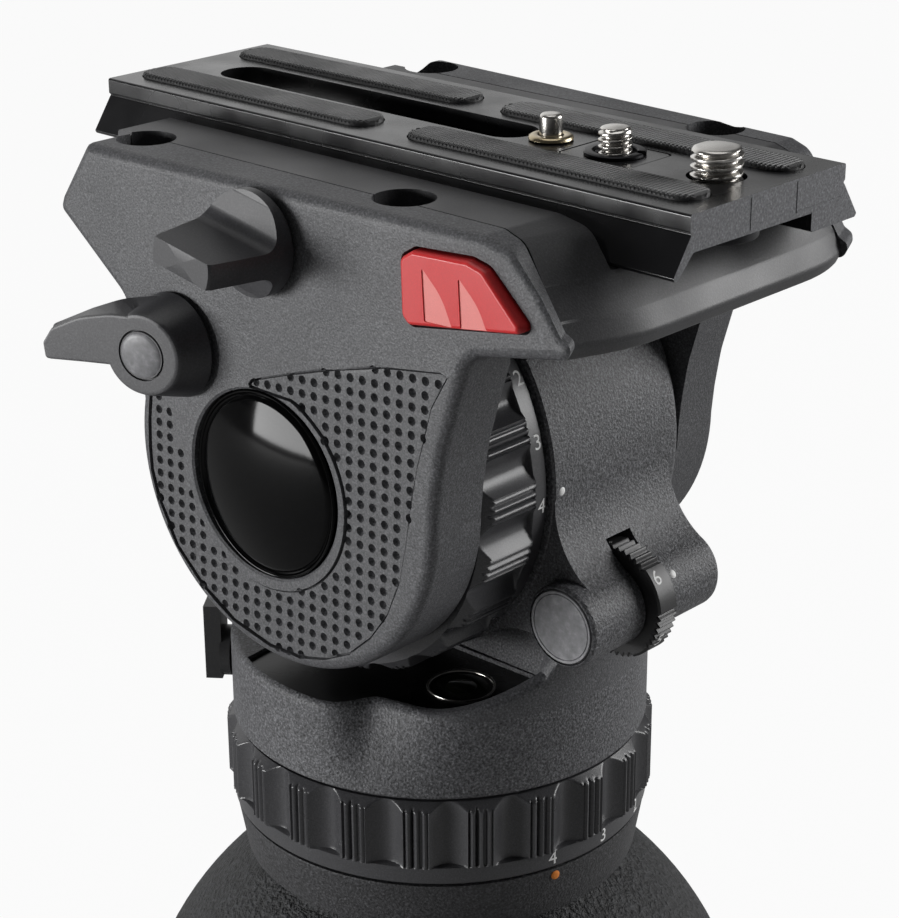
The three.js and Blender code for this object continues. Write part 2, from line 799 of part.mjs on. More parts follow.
function level() {
  const frame = new THREE.Group();
  frame.position.set(levelX, levelY, turntableTop - levelDepth);
  panFrame.add(frame);
  const inside = levelRadius - levelWall;
  const vialRadius = inside - gap;
  place(frame, 'level_ring', tube(inside, levelRadius, 0, levelDepth + gap, discFacets), steel);
  place(frame, 'level_vial', turned([
    [0, 0], [vialRadius, 0], [vialRadius, levelDepth - gap], [0, levelDepth],
  ], discFacets), levelGlass);
}

// The pan lock turns on a radial shaft in the turntable's wall
function panLock() {
  const frame = new THREE.Group();
  frame.position.z = lockHeight;
  frame.rotation.z = THREE.MathUtils.degToRad(lockAngle);
  panFrame.add(frame);
  const hubStart = turntableRadius + gap;
  const hubEnd = hubStart + lockHubLength;
  const paddleStart = hubEnd - gap;
  const halfWidth = lockPaddleWidth / 2;
  const paddle = box(paddleStart, paddleStart + lockPaddleThickness, -halfWidth, halfWidth,
    lockPaddleRise - lockPaddleLength, lockPaddleRise);
  const hub = prismX(circle(lockHubRadius, shaftFacets), hubStart, hubEnd);
  const shaftStart = turntableRadius - turntableWall - lockRadius;
  const shaft = prismX(circle(lockRadius, boltFacets), shaftStart, hubStart + gap);
  place(frame, 'pan_lock_lever', join(paddle, hub, shaft), blackSatin);
}

// Tilt body: casting, cartridge, counterbalance and drag ring

const footBottom = turntableTop + gap - tiltRise;
const footScrews = [-1, 1].map((side) => [
  side * turntableRadius * footScrewShareX, turntableRadius * footScrewShareY,
]);

// The neck between body and barrel, with a fillet above and below
function neckOutline() {
  const barrel = new THREE.Vector2(barrelX, -barrelDrop);
  const reach = barrel.length();
  const bodySide = bodyRadius + barrelFillet;
  const barrelSide = barrelRadius + barrelFillet;
  const spread = Math.acos((bodySide ** 2 + reach ** 2 - barrelSide ** 2) / (2 * bodySide * reach));
  const fillet = (sign) => {
    const angle = barrel.angle() + sign * spread;
    const centre = new THREE.Vector2(bodySide, 0).rotateAround(new THREE.Vector2(), angle);
    const toBody = THREE.MathUtils.radToDeg(centre.clone().negate().angle());
    const toBarrel = THREE.MathUtils.radToDeg(barrel.clone().sub(centre).angle());
    let sweep = toBarrel - toBody;
    if (sweep > 180) sweep -= 360;
    if (sweep < -180) sweep += 360;
    return arc(centre.x, centre.y, barrelFillet, toBody, toBody + sweep, 6);
  };
  return [new THREE.Vector2(), ...fillet(-1), barrel, ...fillet(1).reverse()];
}

function tiltBody() {
  const rounding = bodyEdge * edgeShare;
  const disc = turnedY([
    [0, -bodyNear], [bodyRadius, -bodyNear], [bodyRadius, bodyFar - bodyEdge],
    [bodyRadius - rounding, bodyFar - rounding], [bodyRadius - bodyEdge, bodyFar], [0, bodyFar],
  ], bodyFacets);
  const spigot = rodY(tiltSpigotRadius, -tiltSpigotEnd, -bodyNear + overrun, discFacets);
  const lobe = pegY(barrelRadius, -barrelNear, barrelFar, barrelX, -barrelDrop, discFacets);
  const web = prismY(neckOutline(), -bodyNear, barrelFar);
  const foot = box(-footHalf, footHalf, -footNear, bodyFar - bodyEdge, footBottom, footBottom + footHeight);
  const apron = prismY([
    new THREE.Vector2(footHalf, footBottom), new THREE.Vector2(turntableRadius - footSetback, footBottom),
    new THREE.Vector2(barrelX, -barrelDrop - barrelRadius / 2), new THREE.Vector2(footHalf, -barrelDrop),
  ], -footNear, barrelFar - bodyEdge);
  const windowNear = dialCentre - dialWindow / 2;
  const capSeatEnd = barrelCapDepth - barrelNear;
  const tools = [
    pegY(dialRadius + 2 * gap, windowNear, windowNear + dialWindow, barrelX, -barrelDrop, discFacets),
    pegY(dialShaftRadius + gap, -barrelNear - overrun, barrelFar - barrelCapDepth, barrelX, -barrelDrop),
    pegY(barrelCapRadius + gap, -barrelNear - overrun, capSeatEnd, barrelX, -barrelDrop, discFacets),
    rodY(tiltCanBore, -tiltSpigotEnd - overrun, -tiltCanFloor, shaftFacets),
    rodY(springPocketRadius, springPocketFloor, bodyFar + overrun, discFacets),
    rodY(tiltBearingRadius + gap, -tiltCanFloor - overrun, springPocketFloor + overrun, shaftFacets),
    ...footScrews.map(([x, y]) => shifted(
      rod(screwRadius + gap, -overrun, screwReach + gap - turntableRoof), x, y, footBottom,
    )),
  ];
  place(tiltFrame, 'center_body', cut(join(disc, spigot, lobe, web, foot, apron), ...tools), charcoal);
  const screw = capScrew(screwRadius, screwHeadRadius, screwHeadHeight, screwReach).mirror([0, 0, 1]);
  const seat = turntableTop - turntableRoof - gap;
  footScrews.forEach(([x, y], i) => {
    place(panFrame, ['body_screw_rear', 'body_screw_front'][i], shifted(screw, x, y, seat), darkSteel);
  });
}

function barrelParts() {
  const frame = new THREE.Group();
  frame.position.set(barrelX, 0, -barrelDrop);
  tiltFrame.add(frame);
  const capEnd = barrelCapDepth - barrelNear - gap;
  place(frame, 'barrel_cap', rodY(barrelCapRadius, -barrelNear, capEnd, discFacets), charcoal);
  const shaft = rodY(dialShaftRadius, capEnd + gap, barrelFar - barrelCapDepth - gap, shaftFacets);
  place(frame, 'counterbalance_shaft', shaft, steel);
  const ribs = circle(dialRadius, dialRibs * ribFacets);
  ribs.forEach((point, i) => {
    if (i % ribFacets >= ribFacets / 2) point.setLength(dialRadius - dialRibDepth);
  });
  const near = dialCentre - dialWidth / 2;
  const bore = rodY(dialShaftRadius + gap, -barrelNear, barrelFar, shaftFacets);
  place(frame, 'counterbalance_dial', cut(prismY(ribs, near, near + dialWidth), bore), blackSatin);
}

function tiltDrive() {
  const axleBore = tiltAxleRadius + gap;
  const webMiddle = (springPocketFloor - tiltCanFloor) / 2;
  const axleNear = badgeDepth + 2 * gap - sideOuter;
  const axleFar = farCheekOuter - badgeDepth - 2 * gap;
  place(tiltFrame, 'tilt_axle', rodY(tiltAxleRadius, axleNear, axleFar, shaftFacets), steel);
  const bearing = (y0, y1) => tubeY(axleBore, tiltBearingRadius, y0 + gap, y1 - gap);
  place(tiltFrame, 'tilt_bearing_near', bearing(-tiltCanFloor, webMiddle), steel);
  place(tiltFrame, 'tilt_bearing_far', bearing(webMiddle, springPocketFloor), steel);
  const canOuter = tiltCanBore - gap;
  const canBottom = -tiltCanFloor - gap;
  const canTop = -tiltSpigotEnd + gap;
  const floorEnd = canBottom - canWall;
  const lid = canTop + canLid;
  place(tiltFrame, 'tilt_cartridge', turnedY([
    [axleBore, canBottom], [canOuter, canBottom], [canOuter, lid + gap], [canOuter - canWall, lid + gap],
    [canOuter - canWall, floorEnd], [axleBore, floorEnd],
  ]), steel);
  place(tiltFrame, 'tilt_cartridge_lid', tubeY(axleBore, canOuter, canTop, lid), steel);
  const tiltRotor = rotor(0, floorEnd - lid - 2 * gap, axleBore, canOuter - canWall - 2 * gap);
  place(tiltFrame, 'tilt_rotor', tiltRotor.rotate([-90, 0, 0]).translate([0, lid + gap, 0]), brass);
  const springRadius = springPocketRadius - gap - springWire / 2;
  const springRise = bodyFar - springPocketFloor - springWire - 2 * gap;
  const springStart = springPocketFloor + springWire / 2 + gap;
  const spring = coil(springRadius, springWire, springRise, springTurns).rotate([-90, 0, 0]);
  place(tiltFrame, 'counterbalance_spring', spring.translate([0, springStart, 0]), darkSteel);
  const ringLength = tiltRingNear - tiltRingFar;
  const ring = dragRing(tiltRingBore, tiltRingRadius, tiltRingBandRadius, ringBandHeight, ringLength);
  place(tiltFrame, 'tilt_drag_ring', ring.rotate([90, 0, 0]).translate([0, -tiltRingFar, 0]), rubber);
}

// Platform: side plates, deck and what is fixed to them

const deckHoles = [
  [nearRearHoleX, nearRearHoleY], [nearFrontHoleX, nearFrontHoleY],
  [farRearHoleX, farRearHoleY], [farFrontHoleX, farFrontHoleY],
];

// Side outline in X and Z, clockwise from the rear top corner, as shares of the deck's height over the axis
const sideRearShares = [[-0.767, 1], [-0.903, 0.804], [-0.921, 0.755], [-0.629, 0.508], [-0.577, 0.38]];
const sideFrontShares = [
  [0.73, 0.211], [0.797, 0.421], [0.85, 0.6], [0.885, 0.632], [1.216, 0.695], [1.237, 0.738],
  [1.195, 0.758], [1.123, 0.859], [1.01, 0.98], [0.904, 1],
];
const skirtShare = 0.839;     // where the deck's front skirt begins
const skirtShares = [
  [1.007, 0.763], [1.116, 0.713], [1.154, 0.664], [1.179, 0.664], [1.205, 0.71], [1.175, 0.775],
];
const deckRailShares = [[1.107, 0.87], [1.01, 0.98], [0.904, 1]];

function scaled(shares, size) {
  return shares.map(([x, z]) => new THREE.Vector2(x * size, z * size));
}

function sideOutline() {
  return [
    ...scaled(sideRearShares, deckTop),
    ...arc(cheekX, cheekZ, cheekRadius, 168, 375, 14),
    ...scaled(sideFrontShares, deckTop),
  ];
}

const beyond = sideOuter * 2;

function keepAbove(body, height) {
  return cut(body, box(-beyond, beyond, -beyond, beyond, -beyond, height));
}

function keepBelow(body, height) {
  return cut(body, box(-beyond, beyond, -beyond, beyond, height, beyond));
}

// One slab between two distances from the middle plane, near (-1) or far (+1), its outer edge rounded off
function sideSlab(side, inner, outer, edge) {
  const slab = prismY(sideOutline(), inner - 2 * edge, outer, edge);
  const trimmed = cut(slab, box(-beyond, beyond, inner - 3 * edge, inner, -beyond, beyond));
  return side > 0 ? trimmed : trimmed.mirror([0, 1, 0]);
}

function holeTools() {
  return deckHoles.flatMap(([x, y]) => [
    peg(deckHoleRadius, deckTop - deckHoleDepth, deckTop + overrun, x, y),
    peg(deckScrewRadius + gap, deckUnder + gap, deckTop, x, y, boltFacets),
  ]);
}

// Outline of the release button about its middle, as shares of the platform's half width
const buttonShares = [
  [-0.287, -0.129], [-0.236, -0.156], [0.275, -0.068], [0.277, -0.041], [0.102, 0.133], [0.031, 0.15],
  [-0.24, 0.135], [-0.297, 0.098],
];

function buttonOutline(grow) {
  const middle = new THREE.Vector2(buttonX, buttonZ);
  return scaled(buttonShares, sideOuter).map((point) => point.setLength(point.length() + grow).add(middle));
}

// The part of a slab that lies under the deck and behind its skirt
function underDeck(slab) {
  const skirt = box(skirtShare * deckTop - gap, beyond, -beyond, beyond, 0, deckTop);
  return cut(keepBelow(slab, deckUnder - gap), skirt);
}

function nearSidePlate() {
  const upper = tapered(sideSlab(-1, sideSeam + gap, sideOuter, sideEdge), -1);
  const lower = underDeck(sideSlab(-1, sideInner, sideSeam + 2 * gap, 0));
  const outside = -sideOuter - overrun;
  const inside = -sideInner + overrun;
  const tools = [
    rodY(badgeRadius + gap, outside, badgeDepth - sideOuter, shellFacets),
    rodY(tiltAxleRadius + gap, outside, 0, shaftFacets),
    pegY(leverShaftRadius + gap, outside, inside, leverX, leverZ),
    pegY(brakePadRadius + gap, -sideInner - brakePadThickness, inside, leverX, leverZ),
    pegY(clampScrewRadius + gap, outside, overrun - sideSeam, clampX, clampZ, boltFacets),
    prismY(buttonOutline(2 * gap), outside, -buttonPocketFloor),
    pegY(buttonPinRadius + gap, outside, overrun - sideSeam, buttonX, buttonZ, boltFacets),
    ...holeTools(),
  ];
  place(tiltFrame, 'near_side_plate', cut(join(upper, lower), ...tools), charcoal);
}

function farSidePlate() {
  const rail = keepAbove(tapered(sideSlab(1, sideSeam + gap, sideOuter, sideEdge), 1), farRailBottom);
  const cheek = underDeck(sideSlab(1, farCheekInner, farCheekOuter, sideEdge));
  const bridgeSlab = sideSlab(1, farCheekOuter - 2 * sideEdge, sideSeam + 2 * gap, 0);
  const bridge = keepAbove(underDeck(bridgeSlab), farRailBottom);
  const outside = farCheekOuter + overrun;
  const rosetteHub = rosetteBore + rosetteWall + gap;
  const tools = [
    rodY(badgeRadius + gap, farCheekOuter - badgeDepth, outside, shellFacets),
    rodY(tiltAxleRadius + gap, 0, outside, shaftFacets),
    pegY(rosetteHub, farCheekInner - overrun, outside, rosetteX, rosetteZ),
    ...holeTools(),
  ];
  place(tiltFrame, 'far_side_plate', cut(join(rail, cheek, bridge), ...tools), charcoal);
}

function mirroredSection(points) {
  return [...points, ...points.map(([y, z]) => [-y, z]).reverse()].map(([y, z]) => new THREE.Vector2(y, z));
}

const jawRoom = jawTravel + gap;
const jawInner = -plateFootHalf - gap;
const jawOuter = jawInner - jawDepth;

function deck() {
  const slab = prismY([
    new THREE.Vector2(-deckBack, deckUnder), new THREE.Vector2(skirtShare * deckTop, deckUnder),
    ...scaled([...skirtShares, ...deckRailShares], deckTop), new THREE.Vector2(-deckBack, deckTop),
  ], -sideSeam, sideSeam);
  const flank = (channelFootHalf - channelTopHalf) / channelDepth;
  const channelTop = channelTopHalf - flank * overrun;
  const channel = prismX(mirroredSection([[channelTop, deckTop + overrun], [channelFootHalf, deckFloor]]),
    -deckBack - overrun, plateFront);
  const outside = -sideSeam - overrun;
  const pocketRear = clampX - jawLength / 2 - gap;
  const pocketFront = clampX + jawLength / 2 + gap;
  const jawPocket = box(pocketRear, pocketFront, jawOuter - jawRoom, overrun - channelTopHalf,
    deckUnder - overrun, jawTop + gap);
  const underPlate = box(pocketRear, pocketFront, jawInner + jawRoom, 2 * overrun - channelTopHalf,
    deckUnder - overrun, deckFloor);
  const tools = [
    channel,
    cut(jawPocket, underPlate),
    pegY(clampScrewRadius + gap, outside, jawOuter, clampX, clampZ, boltFacets),
    pegY(buttonPinRadius + gap, outside, buttonPinLength - sideSeam, buttonX, buttonZ, boltFacets),
    ...holeTools(),
  ];
  place(tiltFrame, 'platform_deck', cut(slab, ...tools), charcoal);
  const seat = deckTop - deckHoleDepth + gap;
  const screw = capScrew(deckScrewRadius, deckScrewHeadRadius, deckScrewHeadHeight, seat - deckUnder - gap);
  const names = ['near_rear', 'near_front', 'far_rear', 'far_front'];
  deckHoles.forEach(([x, y], i) => {
    place(tiltFrame, `deck_screw_${names[i]}`, shifted(screw, x, y, seat), darkSteel);
  });
}

// Domed badges: a near-flat crown that rolls off to the rim
const crownShare = 0.6;
const shoulderShare = 0.93;

function badges() {
  const profile = [
    [0, 0], [badgeRadius, 0], [badgeRadius, badgeDepth - gap], [badgeRadius * shoulderShare, badgeDepth],
    [badgeRadius * crownShare, badgeDepth + gap], [0, badgeDepth + 2 * gap],
  ];
  const badge = turnedY(profile.map(([r, y]) => [r, gap + y]), shellFacets);
  const nearBadge = shifted(badge.mirror([0, 1, 0]), 0, badgeDepth - sideOuter, 0);
  place(tiltFrame, 'near_badge', nearBadge, glossBlack);
  place(tiltFrame, 'far_badge', shifted(badge, 0, farCheekOuter - badgeDepth, 0), glossBlack);
}

function rosette() {
  const frame = new THREE.Group();
  frame.position.set(rosetteX, 0, rosetteZ);
  tiltFrame.add(frame);
  const base = farCheekOuter + gap;
  const face = base + rosetteThickness;
  const hubStart = farCheekInner + gap;
  const disc = join(tubeY(rosetteBore, rosetteRadius, base, face, shellFacets),
    tubeY(rosetteBore, rosetteBore + rosetteWall, hubStart, base + gap));
  const groove = box(-rosetteGrooveIn, rosetteGrooveOut, face - rosetteToothDepth, face + overrun,
    -rosetteToothDepth / 2, rosetteToothDepth / 2);
  const middle = rosetteRadius - rosetteGrooveOut + rosetteToothDepth;
  const grooves = around(rosetteTeeth, middle).map(([x, z]) => {
    const angle = THREE.MathUtils.radToDeg(Math.atan2(z, x));
    return groove.rotate([0, -angle, 0]).translate([x, 0, z]);
  });
  place(frame, 'pan_bar_rosette', cut(disc, ...grooves), darkSteel);
}

// Controls: tilt lock, plate clamp and release button

// The tilt lock's arm, from the hub's top round the tip to the underside, as shares of its length
const leverArmShares = [
  [0, 0.32], [-0.27, 0.27], [-0.53, 0.15], [-0.79, 0.01], [-0.985, -0.134], [-0.985, -0.25],
  [-0.81, -0.206], [-0.45, -0.17], [-0.33, -0.2], [-0.22, -0.24],
];

function tiltLock() {
  const frame = new THREE.Group();
  frame.position.set(leverX, 0, leverZ);
  tiltFrame.add(frame);
  const plateFace = sideOuter - sideTaperShare * (leverX - leverHubRadius);
  const front = -sideOuter - leverStand;
  const hubStart = -plateFace - gap;
  const padStart = -sideInner - brakePadThickness;
  const hub = rodY(leverHubRadius, front, hubStart, discFacets);
  const arm = prismY(scaled(leverArmShares, leverLength), front, front + leverArmThickness, leverEdge);
  const shaft = rodY(leverShaftRadius, hubStart - overrun, padStart - gap, shaftFacets);
  const capEnd = front + leverCapHeight;
  const capSeat = rodY(leverCapRadius + gap, front - overrun, capEnd, shaftFacets);
  place(frame, 'tilt_lock_lever', cut(join(hub, arm, shaft), capSeat), rubber);
  place(frame, 'tilt_lock_cap', rodY(leverCapRadius, front - gap, capEnd - gap, shaftFacets), blackSatin);
  place(frame, 'tilt_brake_pad', rodY(brakePadRadius, padStart + gap, -sideInner, shaftFacets), brass);
}

// Knob profile as shares of its radius and of its length from the free end
const knobNeckShares = [0.9, 0.35];
const knobFullShare = 0.5;

function plateClamp() {
  const frame = new THREE.Group();
  frame.position.set(clampX, 0, clampZ);
  tiltFrame.add(frame);
  const face = -sideOuter + sideTaperShare * (clampX - clampKnobRadius) - gap;
  const end = face - clampKnobLength;
  const [neckShare, neckPlaceShare] = knobNeckShares;
  const body = turnedY([
    [0, end], [clampBladeHalf, end], [clampKnobRadius * neckShare, end + clampKnobLength * neckPlaceShare],
    [clampKnobRadius, end + clampKnobLength * knobFullShare], [clampKnobRadius, face], [0, face],
  ], shellFacets);
  const reach = clampKnobRadius + overrun;
  const scoop = prismX(circle(clampScoopRadius, shellFacets), -reach, reach);
  const offset = clampBlade / 2 + clampScoopRadius;
  const scoops = [-1, 1].map((side) => scoop.translate([0, end, side * offset]));
  const blade = cut(body, ...scoops).rotate([0, clampTilt, 0]);
  const screw = rodY(clampScrewRadius, face - clampKnobLength / 4, jawInner - jawRoom);
  place(frame, 'clamp_knob', join(blade, screw), rubber);
  const flankShare = (plateFootHalf - plateTopHalf) / (plateThickness - plateLip);
  const jawTipInner = jawInner + (jawTop - plateFoot) * flankShare;
  const section = [
    [jawOuter, jawBottom], [jawInner, jawBottom], [jawInner, plateFoot],
    [jawTipInner, jawTop], [jawOuter, jawTop],
  ].map(([y, z]) => new THREE.Vector2(y, z));
  const jaw = prismX(section, clampX - jawLength / 2, clampX + jawLength / 2);
  const thread = pegY(clampScrewRadius + gap, -sideOuter, 0, clampX, clampZ, boltFacets);
  place(tiltFrame, 'clamp_jaw', cut(jaw, thread), steel);
}

function releaseButton() {
  const front = sideTaperShare * buttonX - sideOuter - buttonProud;
  const back = front + buttonThickness;
  const seat = back - buttonTravel - gap;
  const springRoom = pegY(buttonSpringRadius + smallWire + gap, seat, back + overrun, buttonX, buttonZ);
  const shell = prismY(buttonOutline(0), front, back, buttonEdge);
  place(tiltFrame, 'release_button', cut(shell, springRoom), redPlastic);
  const frame = new THREE.Group();
  frame.position.set(buttonX, 0, buttonZ);
  tiltFrame.add(frame);
  const pinEnd = buttonPinLength - sideSeam - buttonTravel - 2 * gap;
  place(frame, 'release_pin', rodY(buttonPinRadius, seat + gap, pinEnd), steel);
  const room = -buttonPocketFloor - back - smallWire - 2 * gap;
  const spring = coil(buttonSpringRadius, smallWire, room, buttonSpringTurns).rotate([-90, 0, 0]);
  place(frame, 'release_spring', spring.translate([0, back + gap + smallWire / 2, 0]), steel);
}

// Camera plate with its pads, screws and pin

const padPlaces = [-padY, padY].flatMap((y) => [
  [padRearStart, padRearEnd, y], [padFrontStart, padFrontEnd, y],
]);

function carrierOutline(grow) {
  const [x, y] = [carrierLength / 2 + grow, carrierHalf + grow];
  const corners = [[-x, -y], [x, -y], [x, y], [-x, y]].map((corner) => [...corner, carrierCorner]);
  return outline(corners).map((point) => point.add(new THREE.Vector2(carrierX, 0)));
}

function cameraPlate() {
  const lipBottom = plateTop - plateLip;
  const section = [[plateTopHalf, plateTop], [plateTopHalf, lipBottom], [plateFootHalf, plateFoot]];
  const body = prismX(mirroredSection(section), -plateBack, plateFront);
  const above = plateTop + overrun;
  const below = plateFoot - overrun;
  const headTop = plateFoot + gap + cameraScrewHead;
  const padPockets = padPlaces.map(([x0, x1, y]) => shifted(
    prism(stadium(x0 - gap, x1 + gap, padHalf + gap), plateTop - padSink - gap, above), 0, y, 0,
  ));
  const screwWells = [
    [bigScrewX, bigScrewRadius, bigScrewHeadRadius], [carrierX, smallScrewRadius, smallScrewHeadRadius],
  ].flatMap(([x, radius, headRadius]) => [
    peg(radius + 2 * gap, plateFoot, above, x, 0), peg(headRadius + gap, below, headTop + gap, x, 0),
  ]);
  const tools = [
    prism(stadium(-slotBack, slotFront, slotHalf), below, above),
    prism(carrierOutline(gap), plateTop - carrierThickness - gap, above),
    peg(pinFlangeRadius + gap, below, plateTop - pinCollarWall, pinX, 0),
    peg(pinRadius + gap, plateFoot, above, pinX, 0, boltFacets),
    ...screwWells,
    ...padPockets,
  ];
  place(tiltFrame, 'camera_plate', cut(body, ...tools), blackSatin);
  const names = ['pad_near_rear', 'pad_near_front', 'pad_far_rear', 'pad_far_front'];
  padPlaces.forEach(([x0, x1, y], i) => {
    const pad = prism(stadium(x0, x1, padHalf), plateTop - padSink, plateTop + padProud);
    place(tiltFrame, names[i], shifted(pad, 0, y, 0), rubber);
  });
  const carrierHole = peg(smallScrewRadius + gap, plateFoot, above, carrierX, 0);
  const carrier = prism(carrierOutline(0), plateTop - carrierThickness, plateTop);
  place(tiltFrame, 'screw_carrier', cut(carrier, carrierHole), blackSatin);
}

// A camera screw: head under the plate, thread above it
function cameraScrew(name, x, radius, pitch, headRadius) {
  const bottom = plateFoot + gap;
  const headTop = bottom + cameraScrewHead;
  const top = plateTop + cameraScrewProud;
  const root = radius * (1 - threadDepthShare);
  const profile = [
    [0, bottom + gap], [headRadius / 3, bottom + gap], [headRadius / 3, bottom], [headRadius, bottom],
    [headRadius, headTop], [root, headTop],
  ];
  const turns = Math.floor(cameraScrewProud / pitch);
  for (let i = 0; i < turns; i++) {
    const z = plateTop + gap + i * pitch;
    profile.push([root, z], [radius, z + pitch / 2]);
  }
  const runOut = plateTop + gap + turns * pitch;
  profile.push([root, runOut], [root, top - pitch / 4], [root - pitch / 4, top], [0, top]);
  place(tiltFrame, name, shifted(turned(profile, boltFacets), x, 0, 0), steel);
}

function videoPin() {
  const frame = new THREE.Group();
  frame.position.set(pinX, 0, plateTop);
  tiltFrame.add(frame);
  const flangeTop = -pinCollarWall - gap;
  const flangeBottom = flangeTop - pinCollarWall;
  place(frame, 'video_pin', turned([
    [0, flangeBottom], [pinFlangeRadius, flangeBottom], [pinFlangeRadius, flangeTop],
    [pinRadius, flangeTop],
    [pinRadius, pinProud - gap], [pinRadius - gap, pinProud], [0, pinProud],
  ]), steel);
  const collar = tube(pinRadius + gap, pinCollarRadius, gap, gap + pinCollarHeight, discFacets);
  place(frame, 'video_pin_collar', collar, brass);
}

place(head, 'half_ball', halfBall(), roughCast);
tieDown();
column();
panDrive();
turntable();
level();
panLock();
tiltBody();
barrelParts();
tiltDrive();
nearSidePlate();
farSidePlate();
deck();
badges();
rosette();
tiltLock();
plateClamp();
releaseButton();
cameraPlate();
cameraScrew('screw_3_8', bigScrewX, bigScrewRadius, bigScrewPitch, bigScrewHeadRadius);
cameraScrew('screw_1_4', carrierX, smallScrewRadius, smallScrewPitch, smallScrewHeadRadius);
videoPin();

export default head;
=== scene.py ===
import json
import math

import bmesh
import bpy
import numpy as np
from mathutils import Matrix, Vector
from mathutils.geometry import delaunay_2d_cdt


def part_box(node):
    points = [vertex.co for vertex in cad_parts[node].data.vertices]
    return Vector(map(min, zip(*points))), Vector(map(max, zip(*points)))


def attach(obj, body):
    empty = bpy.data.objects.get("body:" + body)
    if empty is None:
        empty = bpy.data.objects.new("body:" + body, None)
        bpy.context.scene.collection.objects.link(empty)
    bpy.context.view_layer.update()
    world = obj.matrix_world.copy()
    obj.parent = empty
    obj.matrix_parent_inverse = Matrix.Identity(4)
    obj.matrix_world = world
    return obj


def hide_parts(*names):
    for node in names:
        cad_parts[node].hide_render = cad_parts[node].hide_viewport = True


# Looks of a fluid video head. Lengths here are millimetres, and MM turns them into Blender's metres.
# +X points to the front of the head, -Y to the side with the controls, +Z up.

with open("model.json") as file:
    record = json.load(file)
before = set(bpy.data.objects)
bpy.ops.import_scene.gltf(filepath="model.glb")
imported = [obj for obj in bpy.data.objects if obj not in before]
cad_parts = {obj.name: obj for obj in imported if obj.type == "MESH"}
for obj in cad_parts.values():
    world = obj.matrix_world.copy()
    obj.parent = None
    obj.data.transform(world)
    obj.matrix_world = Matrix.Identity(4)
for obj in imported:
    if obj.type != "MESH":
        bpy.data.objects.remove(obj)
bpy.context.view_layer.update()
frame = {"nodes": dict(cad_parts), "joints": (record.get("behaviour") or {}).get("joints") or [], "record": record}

MM = 0.001
JOINTS = {joint["name"]: joint for joint in frame["joints"]}


def node_box(node):
    low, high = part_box(node)
    return np.array(low) / MM, np.array(high) / MM


TILT = np.array((0, 0, JOINTS["tilt"]["pos_m"][2] / MM))
PAN = np.array((0, 0, node_box("pan_drag_ring")[0][2] - 0.3))
ORIGIN = np.zeros(3)


# Outlines, in two dimensions

def polar(radius, degrees):
    return radius * math.cos(math.radians(degrees)), radius * math.sin(math.radians(degrees))


def arc(x, y, radius, start, end, steps=12):
    angles = np.radians(np.linspace(start, end, steps + 1))
    return [(x + radius * math.cos(a), y + radius * math.sin(a)) for a in angles]


def circle(radius, steps=64, x=0, y=0):
    return arc(x, y, radius, 0, 360 - 360 / steps, steps - 1)


def rounded(corners, steps=6):
    """Corners (x, y, radius) in order. Each is rounded off as far as its edges allow."""
    points = []
    for i, (x, y, radius) in enumerate(corners):
        here = np.array((x, y), float)
        before = np.array(corners[i - 1][:2]) - here
        after = np.array(corners[(i + 1) % len(corners)][:2]) - here
        lengths = np.linalg.norm(before), np.linalg.norm(after)
        before, after = before / lengths[0], after / lengths[1]
        half = math.acos(max(-1, min(1, before @ after))) / 2
        reach = min(radius / math.tan(half), 0.48 * lengths[0], 0.48 * lengths[1]) if half < 1.55 else 0
        if reach < 0.02:
            points.append(tuple(here))
            continue
        size = reach * math.tan(half)
        middle = (before + after) / np.linalg.norm(before + after)
        centre = here + middle * size / math.sin(half)
        first = here + before * reach - centre
        last = here + after * reach - centre
        turn = math.atan2(first[0] * last[1] - first[1] * last[0], first @ last)
        begin = math.atan2(first[1], first[0])
        for k in range(steps + 1):
            a = begin + turn * k / steps
            points.append((centre[0] + size * math.cos(a), centre[1] + size * math.sin(a)))
    return points


def stadium(x0, x1, half, steps=16, y=0):
    return arc(x1 - half, y, half, -90, 90, steps) + arc(x0 + half, y, half, 90, 270, steps)


def inset(points, distance):
    """Moves a counter-clockwise outline inwards."""
    p = np.array(points, float)
    edge = np.roll(p, -1, 0) - p
    edge /= np.linalg.norm(edge, axis=1)[:, None]
    normal = np.stack((-edge[:, 1], edge[:, 0]), 1)
    both = normal + np.roll(normal, 1, 0)
    both /= np.maximum(1e-6, (both ** 2).sum(1) / 2)[:, None]
    return p + both * distance


def to_edges(points, outline):
    """Distance of each point from a closed outline."""
    p, a = np.asarray(points, float), np.asarray(outline, float)
    b = np.roll(a, -1, 0)
    best = np.full(len(p), 1e9)
    for start, end in zip(a, b):
        way = end - start
        share = np.clip(((p - start) @ way) / max(1e-12, way @ way), 0, 1)
        best = np.minimum(best, np.linalg.norm(p - start - share[:, None] * way, axis=1))
    return best


def inside(points, outline):
    p, a = np.asarray(points, float), np.asarray(outline, float)
    b = np.roll(a, -1, 0)
    result = np.zeros(len(p), bool)
    for (x0, y0), (x1, y1) in zip(a, b):
        crosses = (y0 > p[:, 1]) != (y1 > p[:, 1])
        at = x0 + (p[:, 1] - y0) * (x1 - x0) / ((y1 - y0) or 1e-12)
        result ^= crosses & (p[:, 0] < at)
    return result


# Solids

def linked(name, data):
    obj = bpy.data.objects.new(name, data)
    bpy.context.scene.collection.objects.link(obj)
    return obj


def solid(verts, faces, origin=ORIGIN):
    mesh = bpy.data.meshes.new("solid")
    mesh.from_pydata((np.asarray(verts, float) + origin) * MM, [], faces)
    bm = bmesh.new()
    bm.from_mesh(mesh)
    bmesh.ops.remove_doubles(bm, verts=bm.verts, dist=1e-7)
    bmesh.ops.delete(bm, geom=[v for v in bm.verts if not v.link_faces], context="VERTS")
    bmesh.ops.recalc_face_normals(bm, faces=bm.faces)
    bm.to_mesh(mesh)
    bm.free()
    return linked("solid", mesh)


